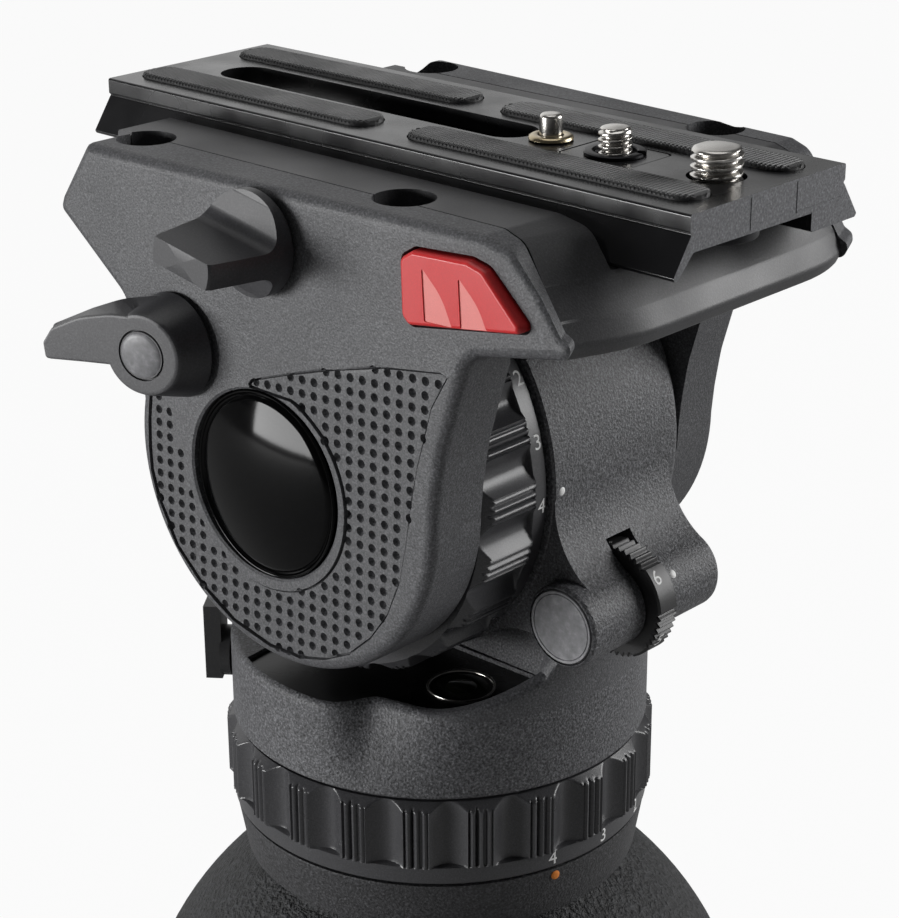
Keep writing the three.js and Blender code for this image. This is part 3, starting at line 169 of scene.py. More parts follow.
def turn_axis(points, axis):
    x, y, z = np.asarray(points, float).T
    if axis == "z":
        return np.stack((x, y, z), 1)
    if axis == "y":
        return np.stack((x, z, y), 1)
    return np.stack((z, x, y), 1)


def prism(outline, low, high, origin=ORIGIN, axis="z"):
    """Outline in (x, y), (x, z) or (y, z), drawn out along the remaining axis."""
    n = len(outline)
    verts = [(x, y, low) for x, y in outline] + [(x, y, high) for x, y in outline]
    faces = [list(range(n)), list(range(2 * n - 1, n - 1, -1))]
    faces += [[i, (i + 1) % n, n + (i + 1) % n, n + i] for i in range(n)]
    return solid(turn_axis(verts, axis), faces, origin)


def grid(rings, origin=ORIGIN, axis="z", closed=False):
    """Skin over rings of equal length; with closed, the last ring joins the first."""
    rows, n = len(rings), len(rings[0])
    verts = [point for ring in rings for point in ring]
    faces = []
    for r in range(rows if closed else rows - 1):
        a, b = r * n, ((r + 1) % rows) * n
        faces += [[a + i, a + (i + 1) % n, b + (i + 1) % n, b + i] for i in range(n)]
    if not closed:
        faces += [list(range(n)), list(range((rows - 1) * n, rows * n))]
    return solid(turn_axis(verts, axis), faces, origin)


def around(radii, angles, height):
    """A ring of points, with one radius for each angle or one for all of them."""
    radii = np.broadcast_to(radii, len(angles))
    return [(r * math.cos(a), r * math.sin(a), height) for r, a in zip(radii, angles)]


def lathe(profile, origin=ORIGIN, axis="z", steps=96, closed=False):
    """Profile of (radius, height), turned about the axis."""
    turns = np.radians(np.arange(steps) * 360 / steps)
    return grid([around(max(r, 1e-5), turns, h) for r, h in profile], origin, axis, closed)


def rod(radius, low, high, origin=ORIGIN, axis="z", steps=64, edge=0):
    """A rod whose ends have rounded edges."""
    if not edge:
        return prism(circle(radius, steps), low, high, origin, axis)
    first = [(radius - edge + x, low + edge + y) for x, y in arc(0, 0, edge, -90, 0, 4)]
    last = [(radius - edge + x, high - edge + y) for x, y in arc(0, 0, edge, 0, 90, 4)]
    return lathe(first + last, origin, axis, steps)


def bake(obj):
    """Applies an object's modifiers."""
    graph = bpy.context.evaluated_depsgraph_get()
    mesh = bpy.data.meshes.new_from_object(obj.evaluated_get(graph))
    obj.modifiers.clear()
    obj.data = mesh
    return obj


def combine(obj, others, operation):
    for other in others:
        modifier = obj.modifiers.new("combine", "BOOLEAN")
        modifier.operation = operation
        modifier.object = other
        modifier.solver = "EXACT"
    bake(obj)
    for other in others:
        bpy.data.objects.remove(other)
    return obj


def cut(obj, *tools):
    return combine(obj, tools, "DIFFERENCE")


def fuse(obj, *others):
    return combine(obj, others, "UNION")


def together(obj, *others):
    """One mesh of several separate skins."""
    bm = bmesh.new()
    for one in (obj, *others):
        bm.from_mesh(one.data)
    bm.to_mesh(obj.data)
    bm.free()
    for one in others:
        bpy.data.objects.remove(one)
    return obj


def bevel(obj, width, segments=2, angle=30):
    modifier = obj.modifiers.new("bevel", "BEVEL")
    modifier.width = width * MM
    modifier.segments = segments
    modifier.limit_method = "ANGLE"
    modifier.angle_limit = math.radians(angle)
    modifier.miter_outer = "MITER_ARC"
    return bake(obj)


def spin(obj, at, degrees, axis):
    """Turns a mesh about an axis through a point."""
    pivot = Vector(at) * MM
    obj.data.transform(Matrix.Translation(pivot) @ Matrix.Rotation(math.radians(degrees), 4, axis)
                       @ Matrix.Translation(-pivot))


def finished(obj, name, body, material, replaces=(), angle=35):
    """Names, shades, dresses and mounts a piece."""
    obj.name = obj.data.name = name
    obj.data.materials.clear()
    obj.data.materials.append(material)
    obj.data.shade_smooth()
    obj.data.set_sharp_from_angle(angle=math.radians(angle))
    weighted = obj.modifiers.new("weighted", "WEIGHTED_NORMAL")
    weighted.keep_sharp = True
    weighted.weight = 80
    bake(obj)
    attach(obj, body)
    if replaces:
        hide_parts(*replaces)
    return obj


def two_tone(piece, second, test):
    """Gives a second material to the faces whose normal and middle, in mm, pass a test."""
    piece.data.materials.append(second)
    for face in piece.data.polygons:
        face.material_index = int(test(face.normal, face.center / MM))


# Materials

def add(tree, kind, inputs=None, **settings):
    """A node with its own settings. Each input is a value, or another node's socket to link."""
    node = tree.nodes.new(kind)
    for key, value in settings.items():
        setattr(node, key, value)
    for key, value in (inputs or {}).items():
        if isinstance(value, bpy.types.NodeSocket):
            tree.links.new(value, node.inputs[key])
        else:
            node.inputs[key].default_value = value
    return node


def material(name, colour, roughness, metallic=0.0, coat=0.0, specular=0.5):
    """A material, its shader, and the place on the object that its textures follow."""
    made = bpy.data.materials.new(name)
    made.use_nodes = True
    shader = made.node_tree.nodes["Principled BSDF"]
    for key, value in (("Base Color", (*colour, 1)), ("Roughness", roughness), ("Metallic", metallic),
                       ("Coat Weight", coat), ("Coat Roughness", 0.08), ("Specular IOR Level", specular)):
        shader.inputs[key].default_value = value
    return made, shader, add(made.node_tree, "ShaderNodeTexCoord").outputs["Object"]


def noise(tree, where, scale, detail=2.0, roughness=0.5):
    inputs = {"Vector": where, "Scale": scale, "Detail": detail, "Roughness": roughness}
    return add(tree, "ShaderNodeTexNoise", inputs).outputs["Fac"]


def ramp(tree, value, stops, target):
    """Stops of (position, colour or grey)."""
    node = add(tree, "ShaderNodeValToRGB", {"Fac": value})
    elements = node.color_ramp.elements
    while len(elements) < len(stops):
        elements.new(0.5)
    for element, (position, colour) in zip(elements, stops):
        element.position = position
        element.color = (*colour, 1) if isinstance(colour, tuple) else (colour, colour, colour, 1)
    tree.links.new(node.outputs["Color"], target)


def bump(tree, shader, heights):
    """Heights of (value, distance in mm), one bump on top of the other."""
    below = {}
    for value, distance in heights:
        node = add(tree, "ShaderNodeBump", {"Distance": distance * MM, "Height": value, **below})
        below = {"Normal": node.outputs["Normal"]}
    tree.links.new(below["Normal"], shader.inputs["Normal"])


def shade(colour, factor):
    return tuple(channel * factor for channel in colour)


def surface(name, colour, roughness, grain, depth, contrast=0.25, spread=0.06, **more):
    """Grain and depth in mm: fine speckle of colour and height, with slow clouds over it."""
    made, shader, where = material(name, colour, roughness, **more)
    tree = made.node_tree
    fine = noise(tree, where, 1 / (grain * MM), 3, 0.6)
    slow = noise(tree, where, 1 / (grain * 60 * MM), 2)
    ramp(tree, fine, [
        (0.3, shade(colour, 1 - contrast)), (0.55, colour), (0.75, shade(colour, 1 + 1.6 * contrast)),
    ], shader.inputs["Base Color"])
    ramp(tree, slow, [(0.3, roughness - spread), (0.7, roughness + spread)], shader.inputs["Roughness"])
    bump(tree, shader, [(slow, depth * 0.5), (fine, depth)])
    return made


CASTING = surface("casting", (0.092, 0.093, 0.099), 0.5, 0.42, 0.1, contrast=0.6)
COARSE = surface("body_casting", (0.108, 0.109, 0.116), 0.5, 0.5, 0.2, contrast=0.9)
SMOOTH_CASTING = surface("casting_rail", (0.045, 0.045, 0.048), 0.45, 0.35, 0.03, contrast=0.35)
ROUGH = surface("rough_casting", (0.024, 0.025, 0.027), 0.6, 1.3, 1.6, contrast=0.9)
ROUGH_FINE = surface("column_casting", (0.042, 0.042, 0.045), 0.55, 0.55, 0.2, contrast=0.9)
PLATE = surface("plate", (0.01, 0.01, 0.011), 0.25, 0.18, 0.006, contrast=0.3)
WORN = surface("plate_end", (0.14, 0.142, 0.152), 0.45, 0.5, 0.05, contrast=0.5)
RUBBER = surface("rubber", (0.028, 0.028, 0.029), 0.5, 0.2, 0.012, contrast=0.3)
# Lighter grey for the lock lever's faces turned towards -Y: painted light, a lit copy of the lever's darker rubber
LEVER_LIT_SIDE = surface("lever_painted_lit_side", (0.1, 0.1, 0.105), 0.48, 0.4, 0.02, contrast=0.25)
RUBBER_SMOOTH = surface("control_rubber", (0.042, 0.042, 0.046), 0.42, 0.4, 0.015, contrast=0.3)
RING = surface("ring_rubber", (0.058, 0.058, 0.062), 0.3, 0.3, 0.01, contrast=0.3)
GLOSS = surface("gloss_black", (0.002, 0.002, 0.0022), 0.08, 0.8, 0.001, contrast=0.4, spread=0.02, specular=0.14)
# Near-black of the level's cover: partly its own glossy black, partly painted shade of the recess it sits in
LEVEL_COVER_BLACK_AND_SHADE = surface("cover_black_and_painted_shade", (0.006, 0.006, 0.0062), 0.28, 0.4, 0.004, contrast=0.4, specular=0.3)
PLASTIC = surface("black_plastic", (0.022, 0.022, 0.023), 0.42, 0.3, 0.012)
RED = surface("red_plastic", (0.66, 0.03, 0.032), 0.38, 0.3, 0.008, contrast=0.06)
SAIL = surface("red_facet", (0.83, 0.24, 0.22), 0.4, 0.3, 0.006, contrast=0.05)
STEEL = surface("steel", (0.62, 0.6, 0.57), 0.24, 0.12, 0.004, contrast=0.12, metallic=1.0)
DARK_STEEL = surface("dark_steel", (0.03, 0.03, 0.032), 0.4, 0.2, 0.008, metallic=1.0)
BRASS = surface("brass", (0.5, 0.42, 0.28), 0.3, 0.15, 0.004, contrast=0.12, metallic=1.0)
GLASS = surface("level_glass", (0.006, 0.007, 0.005), 0.1, 0.9, 0.001, contrast=0.3, spread=0.02, coat=0.6)
WHITE = surface("white_paint", (0.88, 0.88, 0.87), 0.5, 0.3, 0.004, contrast=0.05)
ORANGE = surface("orange_paint", (0.8, 0.24, 0.03), 0.5, 0.3, 0.004, contrast=0.05)
# Grey of the barrel's end cap and the lock button, raised above the metal's own grey as painted light for a cap the
# lamps leave partly in shade
CAP_GREY_LIGHTENED = surface("grey_cap_painted_light", (0.21, 0.21, 0.22), 0.4, 1.6, 0.02, contrast=0.3)

SLOT_MATERIALS = {
    "casting": CASTING, "rough_casting": ROUGH, "plate": PLATE, "gloss_black": GLOSS, "rubber": RUBBER,
    "black_plastic": PLASTIC, "red_plastic": RED, "steel": STEEL, "dark_steel": DARK_STEEL,
    "brass": BRASS, "level_glass": GLASS,
}


# Carried-over solids: smooth shading as a modifier

SMOOTH_BELOW = 33       # degrees between two faces
WELD = 0.002


def smooth_group():
    group = bpy.data.node_groups.new("smooth_by_angle", "GeometryNodeTree")
    for way in ("INPUT", "OUTPUT"):
        group.interface.new_socket("Geometry", in_out=way, socket_type="NodeSocketGeometry")
    source = add(group, "NodeGroupInput").outputs[0]
    weld = add(group, "GeometryNodeMergeByDistance", {"Geometry": source, "Distance": WELD * MM})
    forget = add(group, "GeometryNodeRemoveAttribute",
                 {"Geometry": weld.outputs["Geometry"], "Name": "custom_normal"})
    faces = add(group, "GeometryNodeSetShadeSmooth", {"Geometry": forget.outputs["Geometry"]})
    angle = add(group, "GeometryNodeInputMeshEdgeAngle").outputs["Unsigned Angle"]
    below = add(group, "ShaderNodeMath", {0: angle, 1: math.radians(SMOOTH_BELOW)}, operation="LESS_THAN")
    edges = add(group, "GeometryNodeSetShadeSmooth",
                {"Geometry": faces.outputs["Geometry"], "Shade Smooth": below.outputs[0]}, domain="EDGE")
    add(group, "NodeGroupOutput", {0: edges.outputs["Geometry"]})
    return group


SMOOTH = smooth_group()
NODE_SLOTS = {part["node"]: part["material_slot"] for part in frame["record"]["subparts"]}

for node, obj in frame["nodes"].items():
    obj.data.materials.clear()
    obj.data.materials.append(SLOT_MATERIALS[NODE_SLOTS[node]])
    smooth = obj.modifiers.new("smooth", "NODES")
    smooth.node_group = SMOOTH


# Side plates: a height field over X and Z, with the dotted field and the badge's seat sunk into it

SIDE_FACE = 48.8
SIDE_TAPER = 0.049
SIDE_SEAM = 39.3
SIDE_INNER = 33.5
DECK_TOP = 59.6
DECK_UNDER = 45.9
SIDE_REAR = [(-45.7, 59.6, 1.5), (-53.8, 47.9, 3), (-54.9, 45, 2), (-37.5, 30.3, 8), (-34.6, 22.6, 6)]
SIDE_FRONT = [
    (43.3, 8, 30), (44.6, 16, 30), (47.2, 25.1, 20), (50.7, 35.8, 3), (52.7, 37.6, 3), (72.5, 41.4, 2.2),
    (73.7, 44, 1.5), (71.2, 45.2, 1), (66.9, 51.2, 3), (60.2, 58.4, 6), (53.9, 59.6, 6),
]
SIDE_EDGE = 2.2
CHEEK = (4.2, 1.8, 38.5)
CHEEK_FRONT = 49.7
CHEEK_TOP = DECK_UNDER - 0.3
CHEEK_EDGE = 1.2
CHEEK_BREAK = 0.6
JOIN = 0.1              # overlap of two skins of one casting
BADGE_RADIUS = 19.1
BADGE_SEAT = 3.3
BADGE_GROOVE = 0.35
FIELD = [
    (-30.1, 15), (-30.7, 12.3), (-31.6, 5.9), (-31.9, 0.2), (-31.7, -5.2), (-30.1, -10.9), (-25.5, -20),
    (-18.6, -26.9), (-10, -31.9), (0, -34.4), (8, -34.5), (15, -32.6), (21.5, -29.4), (27, -24.4),
    (31.4, -18.2), (34.6, -10.6), (36.4, -2), (37.5, 5), (39.2, 13.4), (42.7, 25.8), (46.6, 32.6), (45, 33.3),
    (32, 31.4), (18.4, 27.8), (7.8, 24.6), (-2.2, 21.1), (-3, 20.1), (-2.7, 19.3), (1.4, 19.1),
    *arc(0, -0.5, 21, 68, -142, 40), (-18.2, -11.6), (-19.6, -8), (-20.6, -3.6), (-21.9, 1.3), (-23.6, 5.5),
    (-24.9, 9.7), (-26.2, 13.2), (-26.8, 15),
]
FIELD_DEPTH = 0.45
FIELD_LINE = 0.7
FIELD_LINE_WIDTH = 0.4
DIMPLE = 0.92
DIMPLE_STEPS = 10
DIMPLE_DEPTH = 1.15
DIMPLE_MARGIN = 0.3
DIMPLE_START = (22.7, 21.68)
DIMPLE_COLUMN = (3.0, 0.127)
DIMPLE_ROW = (0.12, 2.743)


def side_outline():
    cheek = [(x, z, 0.01) for x, z in arc(*CHEEK, 168, 360, 60)]
    return rounded(SIDE_REAR + cheek + SIDE_FRONT, 8)


def dimple_places(field):
    steps = np.array([(i, j) for i in range(-22, 12) for j in range(-20, 7)])
    places = np.array(DIMPLE_START) + steps @ np.array((DIMPLE_COLUMN, DIMPLE_ROW))
    keep = inside(places, field) & (to_edges(places, field) > DIMPLE_MARGIN)
    return places[keep]


def closed_loop(points, edges, loop):
    first, n = len(points), len(loop)
    points += [tuple(p) for p in loop]
    edges += [(first + i, first + (i + 1) % n) for i in range(n)]


def height_plate(outline, face, back, side, edge, field=None, pocket=None, pocket_floor=0, badge=True):
    """Plate whose outer face lies at face(x), less what is sunk into it, on the near or far side."""
    loops = [np.array(outline)] + [inset(outline, edge * share) for share in (0.08, 0.3, 0.6, 1)]
    if badge:
        for radius in (BADGE_RADIUS, BADGE_RADIUS + 0.04, BADGE_RADIUS + 0.5):
            loops.append(np.array(circle(radius, 96)))
    dimples = np.zeros((0, 2))
    if field is not None:
        field = np.array(field)
        loops += [inset(field, by) for by in (0, 0.06, 0.36, 0.44)]
        dimples = dimple_places(field)
    if pocket is not None:
        loops += [np.array(pocket), inset(pocket, -0.04), inset(pocket, -0.5)]
    points, edges = [], []
    for loop in loops:
        closed_loop(points, edges, loop)
    ring = np.array(circle(1, DIMPLE_STEPS))
    for x, z in dimples:
        closed_loop(points, edges, (x, z) + DIMPLE * ring)
        points += [(x + share * DIMPLE * a, z + share * DIMPLE * b) for share in (0.78, 0.42) for a, b in ring]
        points.append((x, z))
    verts, _, triangles, _, _, _ = delaunay_2d_cdt([Vector(p) for p in points], edges, [], 0, 1e-4)
    flat = np.array([tuple(v) for v in verts])
    triangles = np.array(triangles)
    triangles = triangles[inside(flat[triangles].mean(1), outline)]
    depth = np.zeros(len(flat))
    if field is not None:
        line = to_edges(flat, field)
        within = inside(flat, field) & (line > 0.03)
        depth += np.where(within, FIELD_DEPTH, 0)
        depth += np.where(within & (line < FIELD_LINE_WIDTH), FIELD_LINE, 0)
        for x, z in dimples:
            near = (np.abs(flat - (x, z)) < DIMPLE + 0.1).all(1)
            away = np.linalg.norm(flat[near] - (x, z), axis=1) / DIMPLE
            depth[near] += DIMPLE_DEPTH * np.clip(1 - away ** 2.4, 0, 1)
    if badge:
        away = np.linalg.norm(flat, axis=1)
        depth = np.where(away < BADGE_RADIUS + 0.02, BADGE_SEAT, depth)
        depth += np.where((away > BADGE_RADIUS + 0.02) & (away < BADGE_RADIUS + 0.3), BADGE_GROOVE, 0)
    plain = np.array([face(x) for x in flat[:, 0]])
    if pocket is not None:
        depth = np.where(inside(flat, inset(pocket, -0.02)), plain - pocket_floor, depth)
    rim = np.clip(to_edges(flat, outline), 0, edge)
    depth += edge - np.sqrt(np.maximum(0, edge ** 2 - (edge - rim) ** 2))
    outer = plain - depth
    # Only the outline's own vertices join the wall, in order round the edge
    uses = {}
    for tri in triangles:
        for a, b in ((tri[0], tri[1]), (tri[1], tri[2]), (tri[2], tri[0])):
            uses[(a, b)] = uses.get((a, b), 0) + 1
    border = [(a, b) for (a, b) in uses if (b, a) not in uses]
    n = len(flat)
    front = np.stack((flat[:, 0], side * outer, flat[:, 1]), 1)
    rear = np.stack((flat[:, 0], np.full(n, side * back), flat[:, 1]), 1)
    faces = [list(t) for t in triangles]
    faces += [[b, a, n + a, n + b] for a, b in border]
    following = dict(border)
    loop, at = [], border[0][0]
    while at not in loop[:1]:
        loop.append(at)
        at = following[at]
    faces.append([n + i for i in loop])
    return solid(np.concatenate((front, rear)), faces, TILT)


def side_face(x):
    return SIDE_FACE - SIDE_TAPER * x


HOLES = {"near": [(-39.9, -40.1), (27.3, -37)], "far": [(-41.5, 42.6), (37.8, 40.5)]}
HOLE_RADIUS = 5.9
HOLE_FLOOR = 50
REACH = 90              # past every edge of the platform


def deck_holes(side):
    return [rod(HOLE_RADIUS, HOLE_FLOOR, DECK_TOP + 2, TILT + (x, y, 0)) for x, y in HOLES[side]]


def block(x0, x1, low, high):
    """A box across the platform, heights from the tilt axis."""
    return prism([(x0, -REACH), (x1, -REACH), (x1, REACH), (x0, REACH)], low, high, TILT)


def clip_above(obj, height):
    """Keeps what lies below a height over the tilt axis."""
    return cut(obj, block(-REACH, REACH, height, 120))


def clip_below(obj, height):
    return cut(obj, block(-REACH, REACH, -REACH, height))


def clip_front(obj):
    return cut(obj, block(CHEEK_FRONT, REACH, -REACH, REACH))


BUTTON = [
    (36.9, 42.3, 1.6), (38.6, 40.9, 1.4), (64.3, 45, 1.5), (64.5, 46.4, 1.2), (56.2, 54.6, 3), (52.6, 55.5, 2),
    (39.6, 54.8, 1.4), (36.6, 52.9, 1.6),
]
BUTTON_CLEARANCE = 0.5
BUTTON_POCKET = 41.5
BUTTON_PIN = TILT + (51, 0, 48.2)
BUTTON_PIN_HOLE = 2.3
BUTTON_SPRING_ROOM = 4.2

NOSE_START = 52
NOSE_LENGTH = 14
NOSE_BOW = 2.6
NOSE_FLAT = 22
NOSE_SWEEP = (19, 4.6)  # length over which the front falls back, and how far
NOSE_CORNER = (41, 4, 2)
SEAM_SHIFTS = [(-SIDE_SEAM, 9.3, 6.5, -2.3), (SIDE_SEAM, 8, 11, -3.7)]  # seam, reach towards +Y and -Y, shift


def nose(obj, still=None):
    """Bows the front of the deck and rails forward in plan, and brings the two seams to their places.

    What lies inside the outline named still stays as it is.
    """
    places = np.array([vertex.co for vertex in obj.data.vertices]) / MM
    held = np.zeros(len(places), bool) if still is None else inside(places[:, [0, 2]] - (0, TILT[2]), still)
    corner, corner_length, setback = NOSE_CORNER
    for vertex, fixed in zip(obj.data.vertices, held):
        x, y, z = vertex.co / MM
        share = max(0, min(1.15, (x - NOSE_START) / NOSE_LENGTH))
        if fixed or not share:
            continue
        y += share * sum(shift * max(0, 1 - abs(y - seam) / (ahead if y > seam else behind))
                         for seam, ahead, behind, shift in SEAM_SHIFTS)
        side = abs(y)
        bow = NOSE_BOW - NOSE_SWEEP[1] * (max(0, side - NOSE_FLAT) / NOSE_SWEEP[0]) ** 2
        if y < -corner:
            bow = setback * (min(1, (side - corner) / corner_length) - 1)
        vertex.co = Vector((x + share * bow, y, z)) * MM
    return obj


def near_plate():
    outline = side_outline()
    pocket = inset(rounded(BUTTON), -BUTTON_CLEARANCE)
    shell = height_plate(outline, side_face, SIDE_SEAM, -1, SIDE_EDGE, field=FIELD, pocket=pocket,
                         pocket_floor=BUTTON_POCKET)
    cut(shell, *deck_holes("near"), rod(BUTTON_PIN_HOLE, -46, -30, BUTTON_PIN, "y", 32))
    inner = clip_above(prism(outline, -SIDE_SEAM - JOIN, -SIDE_INNER, TILT, "y"), CHEEK_TOP)
    clip_front(inner)
    bevel(inner, CHEEK_BREAK)
    plate = nose(together(shell, inner), inset(pocket, -0.3))
    finished(plate, "side_plate_near", "platform", CASTING, ["near_side_plate"])


# Far side plate: a rail as wide as the near one, over a cheek that lies further in

FAR_RAIL_BOTTOM = 39.4
FAR_CHEEK_INNER = 25.3
FAR_CHEEK_OUTER = 37


def far_plate():
    outline = side_outline()
    rail = height_plate(outline, side_face, SIDE_SEAM, 1, SIDE_EDGE, badge=False)
    clip_below(rail, FAR_RAIL_BOTTOM)
    cut(rail, *deck_holes("far"))
    cheek = height_plate(outline, lambda x: FAR_CHEEK_OUTER, FAR_CHEEK_INNER, 1, CHEEK_EDGE, field=FIELD)
    clip_front(clip_above(cheek, CHEEK_TOP))
    bridge = clip_above(prism(outline, FAR_CHEEK_OUTER - 1, SIDE_SEAM + JOIN, TILT, "y"), CHEEK_TOP)
    clip_front(clip_below(bridge, FAR_RAIL_BOTTOM))
    plate = nose(together(rail, cheek, bridge))
    finished(plate, "side_plate_far", "platform", CASTING, ["far_side_plate"])


def slice_up(obj, places, normal):
    """Cuts extra edges across a mesh, so that it can be bent."""
    bm = bmesh.new()
    bm.from_mesh(obj.data)
    for place in places:
        bmesh.ops.bisect_plane(bm, geom=bm.verts[:] + bm.edges[:] + bm.faces[:], dist=1e-7,
                               plane_co=Vector(place) * MM, plane_no=normal)
    bm.to_mesh(obj.data)
    bm.free()


# Deck between the side plates

DECK_BACK = -50
DECK_HALF = 39
DECK_FLOOR = 52.4
CHANNEL_TOP = 26
CHANNEL_FOOT = 27.9
SKIRT = [
    (50, 45.8, 2), (60.2, 45.4, 6), (66.5, 42.5, 4), (68.8, 39.7, 1), (70.6, 39.6, 1.2), (72, 42.4, 1.5),
    (70, 46.4, 4), (66, 51.9, 4), (60.2, 58.4, 6), (53.9, 59.6, 6),
]


def deck():
    outline = rounded([(DECK_BACK, DECK_UNDER + 0.3, 0.8), *SKIRT, (DECK_BACK, DECK_TOP, 1)], 6)
    body = prism(outline, -DECK_HALF, DECK_HALF, TILT, "y")
    channel = [(-CHANNEL_TOP + 0.5, DECK_TOP + 2), (-CHANNEL_FOOT, DECK_FLOOR), (CHANNEL_FOOT, DECK_FLOOR),
               (CHANNEL_TOP - 0.5, DECK_TOP + 2)]
    cut(body, prism(channel, -90, 90, TILT, "x"))
    cut(body, *deck_holes("near"), *deck_holes("far"))
    bevel(body, 0.45, 2, 40)
    slice_up(body, [TILT + (0, y, 0) for y in range(-36, 37, 3)], (0, 1, 0))
    finished(nose(body), "deck", "platform", SMOOTH_CASTING, ["platform_deck"])


# Camera plate with pads, screws and pin, heights from the tilt axis

PLATE_BACK = -72.4
PLATE_FRONT = 80.4
PLATE_TOP = 63.6
PLATE_FOOT = 52.7
PLATE_HALF = 22.8
PLATE_FOOT_HALF = 27.1
PLATE_LIP = 3.1
PLATE_WEB = 56.3
PLATE_BLOCK = 13
PLATE_MARKS = [  # lines on the front end, opposite corners in (y, z)
    ((-5.8, 57.2), (-5.45, 63.1)), ((7.85, 57.4), (8.2, 63.1)), ((8, 57.35), (22.6, 57.65)),
    ((12.6, 53), (12.95, 56.5)),
]
SLOT = (-60, 25, 5.65)
SLOT_STEP = (0.1, 0.9, 3.4)
PADS = [(-70, -3, -13.2), (7, 76, -13.2), (-69, -1, 13.2), (7, 77, 13.2)]
PAD_NAMES = ["pad_near_rear", "pad_near_front", "pad_far_rear", "pad_far_front"]
PAD_HALF = 4.5
PAD_RISE = 1
PAD_GAP = 0.25
PAD_PITCH = 0.95
PAD_RIB = 0.26
PAD_MARGIN = 0.05
CARRIER = (36.5, 54, 6.6)
LARGE_SCREW = (68.5, 4.76, 1.5875, 69)
SMALL_SCREW = (45.3, 3.175, 1.27, 68.7)
PIN_X = 29.8
PIN = [(0, -3), (3, -3), (3, -0.8), (2.2, -0.8), (2.2, 4.3), (2.05, 4.75), (1.7, 5), (0.9, 5.02), (0, 5.02)]
PIN_COLLAR = [(2.45, 0.1), (4.1, 0.1), (4.3, 0.3), (4.2, 0.75), (3.7, 1.05), (2.7, 1.1), (2.45, 0.95)]
SCREW_COLLAR = [(4.1, 0), (5.6, 0), (5.8, 0.25), (5.8, 0.7), (5.5, 0.9), (4.3, 0.9), (4.1, 0.7)]


def camera_plate():
    lip = PLATE_TOP - PLATE_LIP
    flank = [
        (PLATE_HALF, PLATE_TOP, 0.5), (PLATE_HALF, lip, 0.4), (PLATE_HALF - 0.5, lip - 0.4, 0.2),
        (PLATE_HALF, lip - 1, 0.3), (PLATE_FOOT_HALF, PLATE_FOOT + 0.6, 0.3),
    ]
    thin = [(PLATE_FOOT_HALF - 0.4, PLATE_FOOT, 0.2), (PLATE_FOOT_HALF - 1.3, PLATE_FOOT, 0.2),
            (PLATE_HALF - 1, PLATE_WEB + 0.5, 1)]
    block = [(PLATE_FOOT_HALF - 0.5, PLATE_FOOT, 0.4), (PLATE_BLOCK, PLATE_FOOT, 0.3),
             (PLATE_BLOCK - 0.3, PLATE_WEB, 0.3)]
    section = rounded(flank + block + [(-y, z, r) for y, z, r in reversed(flank + thin)], 3)
    body = prism(section, PLATE_BACK, PLATE_FRONT, TILT, "x")
    top, under = PLATE_TOP + 2, PLATE_FOOT - 2
    longer, wider, deeper = SLOT_STEP
    tools = [
        prism(stadium(*SLOT, 24), under, top, TILT),
        prism(stadium(SLOT[0] - longer, SLOT[1] + longer, SLOT[2] + wider, 24), under, PLATE_TOP - deeper, TILT),
    ]
    for x0, x1, y in PADS:
        seat = stadium(x0 - PAD_GAP, x1 + PAD_GAP, PAD_HALF + PAD_GAP, 20, y)
        tools.append(prism(seat, PLATE_TOP - 1.2, top, TILT))
    x0, x1, half_width = CARRIER
    corners = [(x0, -half_width, 1.5), (x1, -half_width, 1.5), (x1, half_width, 1.5), (x0, half_width, 1.5)]
    tools.append(prism(rounded(corners), PLATE_TOP - 4.6, top, TILT))
    for x, radius in ((LARGE_SCREW[0], LARGE_SCREW[1] + 0.7), (SMALL_SCREW[0], SMALL_SCREW[1] + 0.7), (PIN_X, 2.5)):
        tools.append(rod(radius, under, top, TILT + (x, 0, 0)))
    cut(body, *tools)
    bevel(body, 0.22, 2, 40)
    for (y0, z0), (y1, z1) in PLATE_MARKS:
        mark = prism([(y0, z0), (y1, z0), (y1, z1), (y0, z1)], PLATE_FRONT - 0.5, PLATE_FRONT + 0.1, TILT, "x")
        body = together(body, mark)
    plate = finished(body, "camera_plate_body", "plate", PLATE, ["camera_plate"])
    two_tone(plate, WORN, lambda normal, middle: normal.x > 0.75 and middle.x > PLATE_FRONT - 1)
    carrier = prism(rounded([(x + (0.2 if x == x0 else -0.2), y * 0.97, r) for x, y, r in corners]),
                    PLATE_TOP - 4.5, PLATE_TOP - 0.05, TILT)
    cut(carrier, rod(SMALL_SCREW[1] + 0.5, 40, 90, TILT + (SMALL_SCREW[0], 0, 0)))
    bevel(carrier, 0.2, 2, 40)
    finished(carrier, "screw_carrier_block", "plate", PLATE, ["screw_carrier"])


def ribbed_pad(name, x0, x1, y):
    """A rubber strip with fine crosswise ribs on its top and rounded ends."""
    rows = []
    x = x0 + PAD_MARGIN
    while x < x1:
        for share, rise in ((0, 0), (0.3, 0), (0.42, PAD_RIB), (0.88, PAD_RIB)):
            at = min(x + share * PAD_PITCH, x1 - PAD_MARGIN)
            end = min(at - x0, x1 - at)
            half = PAD_HALF if end >= PAD_HALF else math.sqrt(max(0.05, PAD_HALF ** 2 - (PAD_HALF - end) ** 2))
            crown = PLATE_TOP + PAD_RISE - PAD_RIB + rise * (end > 1)
            edge = crown - 0.55 * (1 - min(1, end / 0.9))
            section = [
                (half, PLATE_TOP - 1.1), (half, edge - 0.5), (half - 0.25 * min(1, half), edge - 0.15),
                (half - 0.7 * min(1, half / 2), crown - 0.17 * (rise > 0)), (half - 0.75 * min(1, half / 2), edge),
            ]
            rows.append([(at, y - out, z) for out, z in section] + [(at, y + out, z) for out, z in section[::-1]])
        x += PAD_PITCH
    finished(grid(rows, TILT), f"ribbed_{name}", "plate", RUBBER, [name], angle=25)


